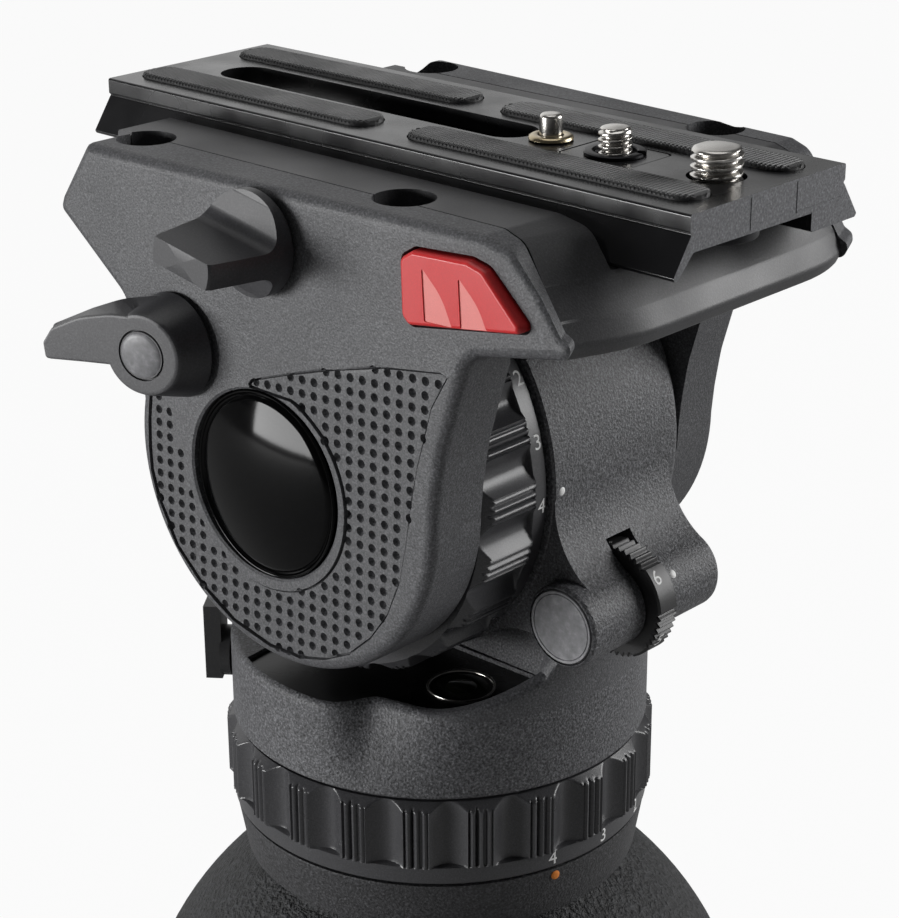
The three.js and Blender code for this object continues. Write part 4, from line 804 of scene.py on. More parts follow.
def threaded(name, body, x, radius, pitch, top, node):
    """Helical thread, its groove cut by the angle round the screw and the height along it."""
    steps, bottom = 56, PLATE_TOP - 7
    root, rim = radius * 0.8, radius - 1.0
    rings = [[(*polar(0.001, 360 * i / steps), bottom) for i in range(steps)]]
    rows = int((top - bottom) / pitch * 14)
    for row in range(rows + 1):
        z = bottom + (top - bottom) * row / rows
        end = min(1, (top - z) / 1.3)
        limit = rim + math.sqrt(max(0, 1 - (1 - end) ** 2))
        ring = []
        for i in range(steps):
            phase = (z / pitch - i / steps) % 1
            crest = min(1, max(0, 1.55 - abs(phase - 0.5) * 3.6))
            ring.append((*polar(min(root + (radius - root) * crest, limit), 360 * i / steps), z))
        rings.append(ring)
    for share, rise in ((0.9, 0.02), (0.6, 0.12), (0.3, 0.18), (0.001, 0.2)):
        rings.append([(*polar(rim * share, 360 * i / steps), top + rise) for i in range(steps)])
    at = TILT + (x, 0, 0)
    low, high = node_box(node)
    head = rod((high[0] - low[0]) / 2, PLATE_FOOT + 0.3, PLATE_FOOT + 4.2, at, edge=0.4)
    piece = finished(together(grid(rings, at), head), name, body, STEEL, [node], angle=50)
    two_tone(piece, DARK_STEEL, lambda normal, middle: middle.z < TILT[2] + PLATE_TOP - 2.5)


def collar():
    """Slotted ring round the small screw."""
    at = TILT + (SMALL_SCREW[0], 0, 0)
    ring = lathe(SCREW_COLLAR, at + (0, 0, PLATE_TOP - 0.1), closed=True)
    slot = prism([(3, -0.9), (8, -0.9), (8, 0.9), (3, 0.9)], PLATE_TOP - 1, PLATE_TOP + 2, at)
    spin(slot, at, 20, "Z")
    finished(cut(ring, slot), "screw_clip", "plate", DARK_STEEL)


def pin():
    at = TILT + (PIN_X, 0, PLATE_TOP)
    finished(lathe(PIN, at, steps=48), "location_pin", "pin", STEEL, ["video_pin"], angle=40)
    ring = lathe(PIN_COLLAR, at, steps=64, closed=True)
    finished(ring, "pin_collar", "plate", BRASS, ["video_pin_collar"], angle=50)


# Drag rings: a scalloped grip with groups of three ridges, and a smooth band for the numbers

GROUPS = 22
GROUP_STEPS = 42
FLUTE_SHARE = 0.61
FLUTE_DEPTH = 1.9
RIDGE_DEPTH = 1.3
PAINT = 0.02            # half the thickness of a digit
PAINT_LIFT = 0.03
DOT = [(1, -0.1), (1, 0), (0.8, 0.108), (0.4, 0.171), (0, 0.18)]   # share of the radius, and rise in mm


def grip_depth(turn):
    """Depth below the full radius; turn is the share of one group."""
    if turn < FLUTE_SHARE:
        across = turn / FLUTE_SHARE * 2 - 1
        return FLUTE_DEPTH * (1 - across ** 2) * (1 + 0.15 * (1 - across ** 2))
    across = (turn - FLUTE_SHARE) / (1 - FLUTE_SHARE) * 3 % 1
    return RIDGE_DEPTH * (1 - math.sin(math.pi * across) ** 0.55)


def drag_ring(name, node, body, origin, axis, radius, band, bore, length, band_height, sign, phase):
    steps = GROUPS * GROUP_STEPS
    depths = [grip_depth((i / GROUP_STEPS) % 1) for i in range(steps)]
    angles = [2 * math.pi * (i / steps) + math.radians(phase) for i in range(steps)]
    chamfer, end = 1.8, 0.5
    rows = [(band - 0.4, 0), (band, 0.4), (band, band_height - 0.3), (band - 0.25, band_height - 0.15),
            (band - 0.25, band_height)]
    heights = [band_height + 0.02, band_height + 0.3, band_height + 0.7, band_height + 1.2, band_height + 2,
               *np.linspace(band_height + 3, length - 3, 4), *np.linspace(length - 2.6, length, 12)]
    for h in heights:
        low = h - band_height
        close = math.sqrt(max(0, 1 - (1 - min(1, low / end)) ** 2))
        cone = radius - max(0, h - (length - chamfer)) * 1.15
        rows.append(([min(radius - d * (0.35 + 0.65 * close), cone) for d in depths], h))
    rows += [(bore + 0.3, length), (bore, length - 0.3), (bore, 0)]
    ring = grid([around(radii, angles, sign * h) for radii, h in rows], origin, axis, closed=True)
    finished(ring, name, body, RING, [node], angle=38)


def numeral(text, size, name, body, place):
    """A plain digit; place takes (along, up, out) in mm about the digit's middle to a point."""
    curve = bpy.data.curves.new(name, "FONT")
    curve.body = text
    curve.size = size
    curve.align_x = "CENTER"
    curve.align_y = "CENTER"
    curve.extrude = PAINT
    obj = linked(name, curve)
    graph = bpy.context.evaluated_depsgraph_get()
    mesh = bpy.data.meshes.new_from_object(obj.evaluated_get(graph))
    bpy.data.objects.remove(obj)
    for vertex in mesh.vertices:
        vertex.co = Vector(place(*vertex.co)) * MM
    made = linked(name, mesh)
    mesh.materials.clear()
    mesh.materials.append(WHITE)
    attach(made, body)


def on_tilt_drum(radius, angle, y, origin=TILT):
    """Digits on a drum about a Y axis, upright for a viewer in front."""
    def place(u, v, w):
        a = math.radians(angle) + v / radius
        r = radius + PAINT_LIFT + w
        return origin + (r * math.cos(a), y + u, r * math.sin(a))
    return place


def on_pan_drum(radius, angle, z, origin=PAN):
    def place(u, v, w):
        a = math.radians(angle) + u / radius
        r = radius + PAINT_LIFT + w
        return origin + (r * math.cos(a), r * math.sin(a), z + v)
    return place


def dot(name, body, point, normal, radius, paint):
    """A small domed paint dot on a surface."""
    made = lathe([(radius * share, rise) for share, rise in DOT], steps=24)
    turn = Vector((0, 0, 1)).rotation_difference(Vector(normal))
    made.data.transform(Matrix.Translation(Vector(point) * MM) @ turn.to_matrix().to_4x4())
    finished(made, name, body, paint)


RING_RADIUS = 45.9
RING_BAND = 44.8
RING_BORE = 38.4
RING_LENGTH = 18.7
TILT_RING_RADIUS = 43.9
TILT_RING_BAND = 42.9
TILT_RING_BORE = 34.1
TILT_RING_LENGTH = 17.8
TILT_RING_FAR = -15.1
BAND_HEIGHT = 4.2
RING_NUMBERS = (("1", 38), ("2", 20), ("3", 2), ("4", -16))             # degrees round the ring
TILT_RING_NUMBERS = (("1", 47.9), ("2", 31), ("3", 14.1), ("4", -3.1))


def drag_rings():
    drag_ring("pan_ring_grip", "pan_drag_ring", "pan_ring", PAN + (0, 0, 0.3), "z", RING_RADIUS, RING_BAND,
              RING_BORE, RING_LENGTH, BAND_HEIGHT, 1, -0.4)
    drag_ring("tilt_ring_grip", "tilt_drag_ring", "tilt_ring", TILT + (0, TILT_RING_FAR, 0), "y", TILT_RING_RADIUS,
              TILT_RING_BAND, TILT_RING_BORE, TILT_RING_LENGTH, BAND_HEIGHT, -1, 5)
    for digit, angle in TILT_RING_NUMBERS:
        place = on_tilt_drum(TILT_RING_BAND, angle, TILT_RING_FAR - 1.6)
        numeral(digit, 4.3, f"tilt_number_{digit}", "tilt_ring", place)
    for digit, angle in RING_NUMBERS:
        numeral(digit, 4.2, f"pan_number_{digit}", "pan_ring", on_pan_drum(RING_BAND, angle, 2.5))


# Tilt body: disc, barrel with the dial's window, and the neck between them

BODY_RADIUS = 44.3
BODY_NEAR = -14.7
BODY_FAR = 24.4
BODY_EDGE = 2.6
BARREL = (49.3, -25)
BARREL_AXIS = TILT + (BARREL[0], 0, BARREL[1])
BARREL_RADIUS = 8.4
BARREL_NEAR = -18.5
BARREL_FAR = 21
BARREL_FILLET = 18
CAP_SEAT = (7.8, BARREL_NEAR - 2, BARREL_NEAR + 1.7)
CAP_PROFILE = [(0, 0.15), (6.6, 0.15), (6.75, 0.35), (6.85, 0.15), (7.3, 0.1), (7.5, 0.4), (7.5, 1.4), (0, 1.4)]
SPIGOT = (33.7, -32.6, -14)
DIAL_Y = 0.2
DIAL_RADIUS = 11.7
DIAL_WINDOW = (13, -2.9, 4.5)
DIAL_PHASE = 27
DIAL_SECTORS = 16
SECTOR_STEPS = 24
DIAL_RIB_STEPS = 8
DIAL_RIB = 0.75
DIAL_SHAFT = 4.9
DIAL_HALF = 2.7
DIAL_EDGE = [(-DIAL_HALF, 1.2), (-DIAL_HALF, 0.5), (-2.4, 0), (2.4, 0), (DIAL_HALF, 0.5), (DIAL_HALF, 1.2)]
DIAL_NUMBERS = (("6", 38), ("7", 105.5), ("5", -29.5))
TURNTABLE_TOP = 38
FOOT = 38.3 - 84
FOOT_TOP = FOOT + 16
FOOT_OUTLINE = [(-30, -6), (30, -6), (30, 21), (-30, 21)]
APRON = [(30, FOOT), (41.5, FOOT), (45, -32), (49.3, -29.2), (30, -25)]
TILT_INDEX = (-12.5, 0.85)      # how far along Y, and the dot's radius
DIAL_INDEX = (7.2, 0.85)
DIAL_INDEX_TURN = 34


def neck_outline():
    barrel = Vector(BARREL)
    reach = barrel.length
    body_side, barrel_side = BODY_RADIUS + BARREL_FILLET, BARREL_RADIUS + BARREL_FILLET
    spread = math.acos((body_side ** 2 + reach ** 2 - barrel_side ** 2) / (2 * body_side * reach))
    direction = math.atan2(barrel.y, barrel.x)

    def fillet(sign):
        centre = Vector((body_side * math.cos(direction + sign * spread),
                         body_side * math.sin(direction + sign * spread)))
        first = math.degrees(math.atan2(-centre.y, -centre.x))
        last = math.degrees(math.atan2(barrel.y - centre.y, barrel.x - centre.x))
        sweep = (last - first + 180) % 360 - 180
        return arc(centre.x, centre.y, BARREL_FILLET, first, first + sweep, 24)
    return [(0, 0), *fillet(-1), tuple(barrel), *reversed(fillet(1))]


def tilt_body():
    rim = [(BODY_RADIUS - BODY_EDGE + x, BODY_FAR - BODY_EDGE + y) for x, y in arc(0, 0, BODY_EDGE, 0, 90, 8)]
    disc = lathe([(0, BODY_NEAR), (BODY_RADIUS - 0.5, BODY_NEAR), (BODY_RADIUS, BODY_NEAR + 0.5), *rim,
                  (0, BODY_FAR)], TILT, "y", 180)
    barrel = rod(BARREL_RADIUS, BARREL_NEAR, BARREL_FAR, BARREL_AXIS, "y", 96, edge=1.2)
    web = prism(neck_outline(), BODY_NEAR + 0.2, BARREL_FAR - 0.8, TILT, "y")
    foot = prism(FOOT_OUTLINE, FOOT, FOOT_TOP, TILT)
    fuse(disc, barrel, web, foot, prism(APRON, -6, 18, TILT, "y"))
    cut(disc, rod(*DIAL_WINDOW, BARREL_AXIS, "y", 96), rod(*CAP_SEAT, BARREL_AXIS, "y"))
    bevel(disc, 0.3, 2, 40)
    body = together(disc, rod(*SPIGOT, TILT, "y", 96))
    finished(body, "tilt_body", "pan_stage", COARSE, ["center_body"], angle=40)
    cap = lathe([(r, BARREL_NEAR + y) for r, y in CAP_PROFILE], BARREL_AXIS, "y", 96)
    finished(cap, "barrel_end", "pan_stage", CAP_GREY_LIGHTENED, ["barrel_cap"], angle=50)
    ribbed_dial()
    y, radius = TILT_INDEX
    dot("tilt_index", "pan_stage", TILT + (BODY_RADIUS, y, 0), (1, 0, 0), radius, WHITE)
    y, radius = DIAL_INDEX
    x, z = polar(1, DIAL_INDEX_TURN)
    on_barrel = BARREL_AXIS + (BARREL_RADIUS * x, y, BARREL_RADIUS * z)
    dot("dial_index", "pan_stage", on_barrel, (x, 0, z), radius, WHITE)


def ribbed_dial():
    """A thumb wheel. Every third of its sectors is a smooth pad for a number, and the others have ribs."""
    steps = DIAL_SECTORS * SECTOR_STEPS
    dips = [DIAL_RIB * (0.5 - 0.5 * math.cos(2 * math.pi * (i / DIAL_RIB_STEPS))) if (i // SECTOR_STEPS) % 3 else 0
            for i in range(steps)]
    turns = [2 * math.pi * i / steps for i in range(steps)]
    phase = math.radians(DIAL_PHASE)
    rings = [around([DIAL_RADIUS - edge - dip for dip in dips], [a + phase for a in turns], DIAL_Y + y)
             for y, edge in DIAL_EDGE]
    rings += [around(DIAL_SHAFT, turns, DIAL_Y + y) for y in (DIAL_HALF, -DIAL_HALF)]
    dial = grid(rings, BARREL_AXIS, "y", closed=True)
    finished(dial, "dial_wheel", "dial", PLASTIC, ["counterbalance_dial"], angle=30)
    for digit, angle in DIAL_NUMBERS:
        place = on_tilt_drum(DIAL_RADIUS, angle, DIAL_Y - 0.9, BARREL_AXIS)
        numeral(digit, 4.2, f"dial_number_{digit}", "dial", place)


# Turntable, column and ball

TURNTABLE_RADIUS = 44.4
TURNTABLE_BOTTOM = 19.6
VALLEY_ANGLE = -66
VALLEY_SPREAD = (7, 15)
VALLEY_DEPTH = 5.6
COVER_FLOOR = TURNTABLE_TOP - 0.9
COVER_CORNERS = [(35.5, -6, 2), (9, -6.6, 2), (4.5, -13.3, 2), (-19, -18, 4)]
LEVEL = (23.1, -18.1)
LEVEL_RADIUS = 7.05
LEVEL_RIM = [
    (6.3, -4), (LEVEL_RADIUS, -4), (LEVEL_RADIUS, -0.3), (6.95, -0.05), (6.75, 0), (6.55, -0.1), (6.3, -0.5),
]
LEVEL_VIAL = [
    (0, -3), (6.25, -3), (6.25, -0.5), (5.4, -0.35), (3.3, -0.28), (3.15, -0.36), (3.0, -0.26), (0, -0.2),
]
WALL_START, WALL_END = -50, 42      # degrees round the turntable
WALL_RAMPS = (33, 14)               # degrees over which the wall rises at either end
WALL_CLIMB = 6.6
BARREL_RAMPS = (-17.5, 28, 3)       # start and end of the part that runs into the barrel, and its ramps
BARREL_CLIMB = 6.4
WALL_FOOT = 30
WALL_THICKNESS = 3.6
PAN_INDEX_TURN = -14.8
PAN_INDEX = (44.45, -1.9)
COLUMN = [
    (8, -12), (42, -12), (42.6, -11.4), (44.4, -0.9), (44.3, -0.4), (43.6, -0.3), (38, -0.3), (38, 17), (33.3, 17),
    (33.3, -1.6), (8, -1.6),
]
BALL = [
    (6.3, 63.5), (6.3, -48), (18, -48), (18, 54), (40, 49), (57, 24), (60, -10), (52, -36), (57, -48),
    *[polar(75, degrees) for degrees in np.linspace(-39.8, -4, 16)], (74.8, -4), (74.2, -3.2), (71, -2.6),
    *[polar(70.3, degrees) for degrees in np.linspace(0, 57.2, 24)], (38, 63.5),
]


def rim(degrees, share=1):
    """Radius of the turntable's wall; share grows from its foot to its top."""
    away = (degrees - VALLEY_ANGLE + 180) % 360 - 180
    spread = VALLEY_SPREAD[0] if away < 0 else VALLEY_SPREAD[1]
    return TURNTABLE_RADIUS - VALLEY_DEPTH * share ** 1.2 * math.exp(-(away / spread) ** 2)


def front_wall():
    """The wall that rises from the turntable's edge and runs into the dial's barrel."""
    sections = []
    start = TURNTABLE_TOP - 2
    into_start, into_end, ramp_length = BARREL_RAMPS
    for degrees in np.linspace(WALL_START, WALL_END, 47):
        rise = (degrees - WALL_START) / WALL_RAMPS[0] if degrees < 0 else (WALL_END - degrees) / WALL_RAMPS[1]
        climb = WALL_CLIMB * max(0, min(1, rise)) ** 1.5
        into = (max(0, min(1, (degrees - into_start) / ramp_length))
                * max(0, min(1, (into_end - degrees) / ramp_length)))
        top = TURNTABLE_TOP + climb + into * BARREL_CLIMB
        outer = rim(degrees)
        face, inner = outer - 0.02, outer - WALL_THICKNESS
        section = [(inner, WALL_FOOT), (face, WALL_FOOT), (face, start)]
        for share in (0.25, 0.5, 0.75, 1):
            height = start + (top - 1.2 - start) * share
            section.append((face + 2.2 * (max(0, height - 40) / 11) ** 2, height))
        lean = section[-1][0]
        section += [(lean - 0.35, top - 0.45), (lean - 1.2, top), (lean - 2.6, top), (inner, top - 1)]
        sections.append([(*polar(r, degrees), z) for r, z in section])
    finished(grid(sections, PAN), "turntable_front", "pan_stage", CASTING, angle=40)


def turntable():
    steps = 240
    edge = 1.6
    height = TURNTABLE_TOP - TURNTABLE_BOTTOM
    profile = [(4, 0), (0.5, 0), (0, 0.5)]
    profile += [(0, z - TURNTABLE_BOTTOM) for z in np.linspace(TURNTABLE_BOTTOM + 2, TURNTABLE_TOP - edge, 10)]
    profile += [(edge - x, height - edge + y) for x, y in arc(0, 0, edge, 15, 90, 6)]
    turns = [360 * i / steps for i in range(steps)]
    rings = [[(*polar(rim(a, z / height) - inwards, a), TURNTABLE_BOTTOM + z) for a in turns]
             for inwards, z in profile]
    middle = [[(*polar(0.01, a), z) for a in turns] for z in (TURNTABLE_BOTTOM, TURNTABLE_TOP)]
    body = grid([middle[0], *rings, middle[1]], PAN)
    edge_line = [polar(rim(a) - 1.2 - 0.05 * max(0, a + 76), a) for a in np.linspace(-113, -27, 60)]
    cover = rounded([(x, y, 0.01) for x, y in edge_line] + COVER_CORNERS, 6)
    cut(body, prism(cover, COVER_FLOOR - 0.8, TURNTABLE_TOP + 4, PAN))
    bevel(body, 0.5, 3, 45)
    finished(body, "turntable_body", "pan_stage", COARSE, ["turntable"], angle=40)
    # The cover's colour is partly its own glossy black and partly painted shade of the recess
    floor = prism(inset(cover, -0.2), COVER_FLOOR - 1.2, COVER_FLOOR, PAN)
    finished(floor, "level_recess", "pan_stage", LEVEL_COVER_BLACK_AND_SHADE, ["level_cover"])
    at = PAN + (*LEVEL, COVER_FLOOR + 0.35)
    ring = lathe(LEVEL_RIM, at, closed=True)
    finished(ring, "level_rim", "pan_stage", STEEL, ["level_ring"], angle=50)
    vial = lathe(LEVEL_VIAL, at, steps=72)
    finished(vial, "level_window", "pan_stage", GLASS, ["level_vial"], angle=60)


def column_and_ball():
    column = lathe(COLUMN, PAN, steps=128, closed=True)
    finished(column, "column_shell", "base", ROUGH_FINE, ["base_column"], angle=40)
    x, y = polar(1, PAN_INDEX_TURN)
    radius, z = PAN_INDEX
    dot("pan_index", "base", PAN + (radius * x, radius * y, z), (x, y, 0), 1.0, ORANGE)
    ball = lathe(BALL, steps=160, closed=True)
    finished(ball, "ball_shell", "base", ROUGH, ["half_ball"], angle=40)


# Controls

BADGE_CURVE = 60
BADGE_DOME = [(r, 5.3 - BADGE_CURVE + math.sqrt(BADGE_CURVE ** 2 - r ** 2)) for r in np.linspace(0, 16.8, 14)] + [
    (17.3, 2.72), (17.6, 2.4), (17.8, 2.6), (18.0, 2.75), (18.15, 2.6), (18.3, 2.4), (18.45, 2.7), (18.7, 2.75),
    (18.8, 2.6), (18.8, -0.6),
]


def badge(name, node, side, seat_y):
    profile = [(r, side * h) for r, h in BADGE_DOME] + [(0, side * -0.6)]
    at = TILT + (0, seat_y, 0)
    finished(lathe(profile, at, "y", 128), name, "platform", GLOSS, [node], angle=60)


CLAMP_AXIS = TILT + (1.2, 0, 49)
CLAMP_FACE = -48.9
CLAMP_END = -67.6
CLAMP_BLADE = 2.5               # half its thickness
CLAMP_TURN = 10
CLAMP = [
    (0, CLAMP_FACE), (9.6, CLAMP_FACE), (10.2, CLAMP_FACE - 0.7), (10.2, CLAMP_FACE - 3), (9.9, CLAMP_FACE - 5),
    (7.9, CLAMP_END + 0.7), (7.4, CLAMP_END), (0, CLAMP_END),
]
CLAMP_SCOOP = [
    (CLAMP_END - 2, CLAMP_BLADE, 0.01), (-53.6, CLAMP_BLADE, 3.4), (-51.6, 9, 2), (-50.9, 14, 0.5),
    (CLAMP_END - 2, 14, 0.01),
]
CLAMP_SCREW = (2, CLAMP_FACE - 1, -29.3)


def clamp_knob():
    """A round boss that narrows to a flat blade."""
    body = lathe(CLAMP, CLAMP_AXIS, "y", 128)
    for side in (-1, 1):
        scoop = [(y, side * z) for y, z in rounded(CLAMP_SCOOP, 8)]
        cut(body, prism(scoop, -14, 14, CLAMP_AXIS, "x"))
    bevel(body, 0.4, 3, 35)
    spin(body, CLAMP_AXIS, CLAMP_TURN, "Y")
    knob = together(body, rod(*CLAMP_SCREW, CLAMP_AXIS, "y", 32))
    finished(knob, "clamp_wing", "clamp", RUBBER_SMOOTH, ["clamp_knob"], angle=35)


LEVER_FRONT = [
    (0, 7.8, 2), (-7, 7.3, 20), (-14, 5.6, 14), (-20.5, 2.3, 2), (-22.6, -0.9, 1.4), (-22.2, -4.4, 0.9),
    (-14, -3.7, 20), (-7, -3.2, 4), (-3.2, -5, 4), (0, -6.6, 1),
]
LEVER_BACK = [
    (0, 10.3, 2), (-9, 8.6, 20), (-14.6, 6.2, 14), (-23.2, 1.8, 2), (-24.4, -1.2, 1.4), (-23.4, -4.8, 0.9),
    (-14, -4.6, 20), (-8, -4.6, 4), (-4, -6.6, 4), (0, -9, 1),
]
LEVER_BEND = ([0, 4, 9, 14.6, 23.2], [-52, -53, -55.6, -58.8, -62])  # distance along the arm, and its back there
LEVER_HUB_FOOT = [(9.9, -50.2), (10.5, -50.8)]
LEVER_HUB_FACE = [(8.3, 0.9), (7.95, 0.25), (7.3, 0)]
LEVER_AXIS = TILT + (-21.5, 0, 24)
LEVER_SHAFT = (3, -50.6, -36.8)
LEVER_FACE = -59.4
LEVER_SLANT = 0.28
LEVER_GROOVE = [(4.75, -1), (4.75, 0.8), (5.15, 0.8), (5.15, -1)]
LEVER_CAP = [(0, -0.45), (2, -0.42), (3.6, -0.3), (4.4, -0.1), (4.7, 0.25), (4.7, 0.6), (0, 0.6)]


def tilt_lock():
    """A hub that tapers outwards, with an arm that bends away from the plate."""
    def slanted(points, depth=0.0):
        return [(x, LEVER_FACE + LEVER_SLANT * x + depth, z) for x, z in points]

    front, back = rounded(LEVER_FRONT, 5), rounded(LEVER_BACK, 5)
    depths = np.interp([-x for x, _ in back], *LEVER_BEND)
    skin = [(x, y, z) for (x, z), y in zip(back, depths)]
    for inwards, depth in ((0, 0.7), (0.25, 0.2), (0.7, 0)):
        skin += slanted(inset(front, inwards), depth)
    # The back has a few points more than the front, so the skin is grouped anew in four rings of one length
    count = len(front)
    arm = grid([skin[i:i + count] for i in range(0, 4 * count, count)], LEVER_AXIS)
    hub = [[(x, y, z) for x, z in circle(radius, 96)] for radius, y in LEVER_HUB_FOOT]
    hub += [slanted(circle(radius, 96), depth) for radius, depth in LEVER_HUB_FACE]
    lever = fuse(grid(hub, LEVER_AXIS), arm)
    turn = (Matrix.Translation(Vector(LEVER_AXIS + (0, LEVER_FACE, 0)) * MM)
            @ Matrix.Rotation(math.atan(LEVER_SLANT), 4, "Z"))
    groove = lathe(LEVER_GROOVE, axis="y", closed=True)
    groove.data.transform(turn)
    cut(lever, groove)
    grip = together(lever, rod(*LEVER_SHAFT, LEVER_AXIS, "y", 32))
    finished(grip, "tilt_lock_handle", "tilt_lock", LEVER_LIT_SIDE, ["tilt_lock_lever"], angle=35)
    # Lit and shaded copies of one rubber: faces turned towards -Y get the lighter grey as painted light, all other
    # faces the darker rubber as painted shade
    two_tone(grip, RUBBER_SMOOTH, lambda normal, middle: normal.y > -0.5)
    cap = lathe(LEVER_CAP, axis="y", steps=64)
    cap.data.transform(turn)
    finished(cap, "tilt_lock_button", "tilt_lock", CAP_GREY_LIGHTENED, ["tilt_lock_cap"], angle=50)


BUTTON_FRONT = -48.2
BUTTON_BACK = -44.9
BUTTON_ROUND = [(0, 1.1), (0.08, 0.65), (0.28, 0.27), (0.55, 0.06), (0.8, 0)]   # inwards, and back from the front
SAILS = (42.6, 51.2)


def release_button():
    outline = np.array(rounded(BUTTON, 8))
    front = BUTTON_FRONT
    rows = [(0, BUTTON_BACK)] + [(inwards, front + back) for inwards, back in BUTTON_ROUND]
    button = grid([[(x, z, y) for x, z in inset(outline, inwards)] for inwards, y in rows], TILT, "y")
    sails = []
    for left in SAILS:
        sail = [(left, 42.6, 0.3), (left - 0.6, 52.4, 0.3), (left + 4.2, 48, 12), (left + 6.6, 42.9, 0.3)]
        sails.append(prism(rounded(sail, 6), front - 1, front + 0.25, TILT, "y"))
    cut(button, rod(BUTTON_SPRING_ROOM, -46.7, -40, BUTTON_PIN, "y", 48), *sails)
    key = finished(button, "release_key", "button", RED, ["release_button"], angle=35)
    two_tone(key, SAIL, lambda normal, middle: normal.y < -0.9 and middle.y > front + 0.1)


near_plate()
far_plate()
deck()
camera_plate()
for pad_name, (x0, x1, y) in zip(PAD_NAMES, PADS):
    ribbed_pad(pad_name, x0, x1, y)
threaded("large_screw_thread", "large_screw", *LARGE_SCREW, "screw_3_8")
threaded("small_screw_thread", "small_screw", *SMALL_SCREW, "screw_1_4")
collar()
pin()
drag_rings()
tilt_body()
turntable()
front_wall()
column_and_ball()
badge("badge_near", "near_badge", -1, -SIDE_FACE + BADGE_SEAT - 0.3)
badge("badge_far", "far_badge", 1, FAR_CHEEK_OUTER - BADGE_SEAT + 0.3)
clamp_knob()
tilt_lock()
release_button()


# Stage, light and camera

FLOOR = node_box("tie_down_knob")[0][2] - 0.5
FLOOR_HALF = 12000
FLOOR_GREY = 0.4
FLOOR_SEEN = 0.95       # how white the camera sees the floor, and below how much of that a reflection has
FLOOR_MIRRORED = 0.12
CORNERS = ((-1, -1), (1, -1), (1, 1), (-1, 1))


def either_ray(tree, path):
    """One for a ray that was mirrored or went through glass."""
    return add(tree, "ShaderNodeMath", {0: path["Is Glossy Ray"], 1: path["Is Transmission Ray"]},
               operation="MAXIMUM").outputs[0]


def stage():
    made, shader, where = material("floor", (FLOOR_GREY,) * 3, 0.8)
    tree = made.node_tree
    ramp(tree, noise(tree, where, 3, 2), [(0.3, FLOOR_GREY - 0.02), (0.7, FLOOR_GREY + 0.02)],
         shader.inputs["Base Color"])
    path = add(tree, "ShaderNodeLightPath").outputs
    seen = add(tree, "ShaderNodeMath", {0: either_ray(tree, path), 1: FLOOR_MIRRORED, 2: path["Is Camera Ray"]},
               operation="MULTIPLY_ADD").outputs[0]
    share = add(tree, "ShaderNodeMath", {0: seen, 1: FLOOR_SEEN}, operation="MULTIPLY").outputs[0]
    glow = add(tree, "ShaderNodeEmission", {"Strength": 1.0}).outputs[0]
    mix = add(tree, "ShaderNodeMixShader", {0: share, 1: shader.outputs[0], 2: glow}).outputs[0]
    tree.links.new(mix, tree.nodes["Material Output"].inputs["Surface"])
    floor = solid([(x * FLOOR_HALF, y * FLOOR_HALF, FLOOR) for x, y in CORNERS], [[0, 1, 2, 3]])
    floor.name = "floor"
    floor.data.materials.append(made)


def lamp(name, place, size, power):
    light = bpy.data.lights.new(name, "AREA")
    light.energy = power
    light.shape = "RECTANGLE"
    light.size, light.size_y = size
    obj = linked(name, light)
    obj.location = place
    obj.rotation_euler = (LAMP_TARGET - Vector(place)).to_track_quat("-Z", "Y").to_euler()


# Lamps: name, place in metres, size in metres, power in watts
LAMPS = [
    ("left", (-0.95, -1.64, 0.2), (1.0, 0.5), 30),
    ("right", (1.09, 1.56, 0.75), (1.1, 1.1), 31),
    ("above", (-0.1, 0.1, 1.5), (1.0, 1.0), 3.8),
]
LAMP_TARGET = Vector((0, 0, 0.13))
AMBIENT = 0.05
BACKDROP = (-0.94, 0.3, 0.17)
BACKDROP_FADE = {"From Min": 0.66, "From Max": 0.95, "To Min": 0.04, "To Max": 1.0}
PAPER = (1, 1, 1, 1)


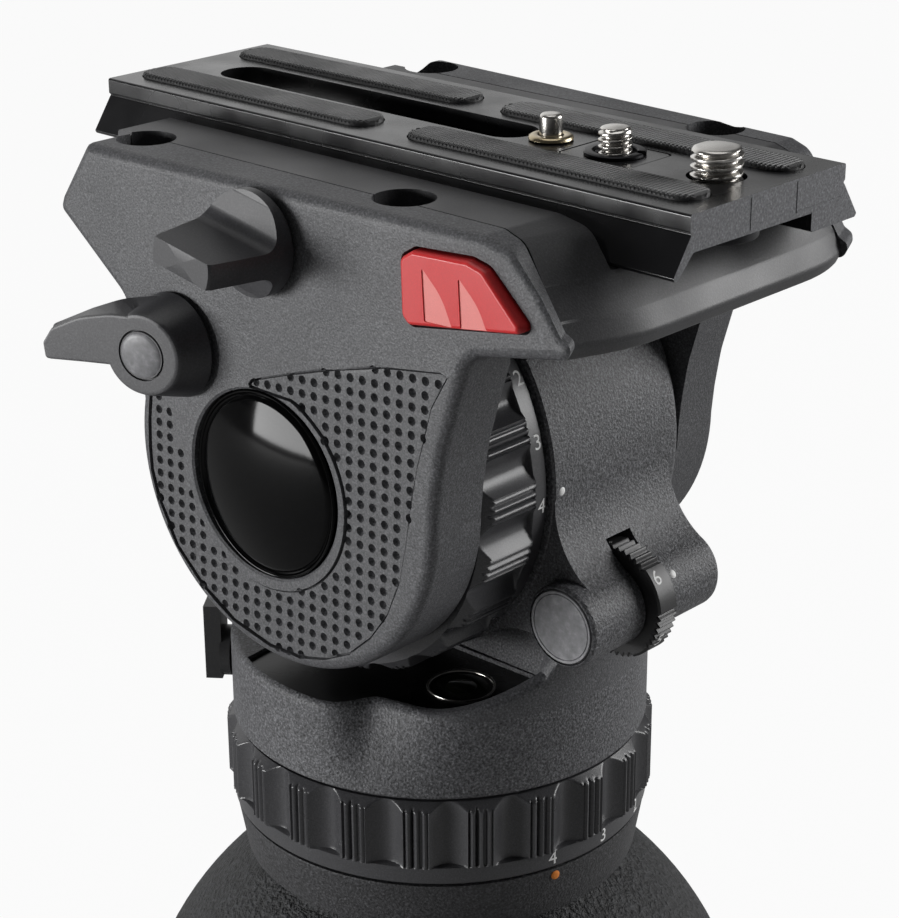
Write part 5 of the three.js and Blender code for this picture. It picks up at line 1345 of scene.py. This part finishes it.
def lights():
    """Soft boxes left and right, a weak one above, and a backdrop that is white to the camera."""
    world = bpy.data.worlds.new("studio")
    bpy.context.scene.world = world
    world.use_nodes = True
    tree = world.node_tree
    ambient = tree.nodes["Background"]
    ambient.inputs["Color"].default_value = PAPER
    ambient.inputs["Strength"].default_value = AMBIENT
    where = add(tree, "ShaderNodeTexCoord").outputs["Generated"]
    along = add(tree, "ShaderNodeVectorMath", {0: where, 1: BACKDROP}, operation="DOT_PRODUCT").outputs["Value"]
    fade = add(tree, "ShaderNodeMapRange", {"Value": along, **BACKDROP_FADE}, interpolation_type="SMOOTHSTEP")
    mirrored = add(tree, "ShaderNodeBackground", {"Color": PAPER, "Strength": fade.outputs["Result"]}).outputs[0]
    white = add(tree, "ShaderNodeBackground", {"Color": PAPER, "Strength": 1.0}).outputs[0]
    path = add(tree, "ShaderNodeLightPath").outputs
    bright = add(tree, "ShaderNodeMixShader",
                 {0: either_ray(tree, path), 1: ambient.outputs[0], 2: mirrored}).outputs[0]
    seen = add(tree, "ShaderNodeMixShader", {0: path["Is Camera Ray"], 1: bright, 2: white}).outputs[0]
    tree.links.new(seen, tree.nodes["World Output"].inputs["Surface"])
    for name, place, size, power in LAMPS:
        lamp(name, place, size, power)


# The photo's camera, fitted to the sizes of the two screws
CAMERA_PLACE = (309.84, -326.31, 333.04)
CAMERA_RIGHT = (0.73025226, 0.68315571, -0.00546929)
CAMERA_UP = (-0.25300758, 0.27786894, 0.92670169)
CAMERA_BACK = (0.63460129, -0.67534223, 0.37575799)
FOCAL_PIXELS = 2343
PHOTO_HEIGHT = 918
SENSOR = 36


def camera():
    data = bpy.data.cameras.new("camera")
    data.sensor_fit = "AUTO"
    data.sensor_width = SENSOR
    data.lens = FOCAL_PIXELS / PHOTO_HEIGHT * SENSOR
    data.clip_start = 0.01
    data.clip_end = 50
    obj = linked("camera", data)
    matrix = Matrix((CAMERA_RIGHT, CAMERA_UP, CAMERA_BACK)).transposed().to_4x4()
    matrix.translation = Vector(CAMERA_PLACE) * MM
    obj.matrix_world = matrix
    bpy.context.scene.camera = obj


stage()
lights()
camera()
bpy.context.scene.view_settings.view_transform = "Standard"
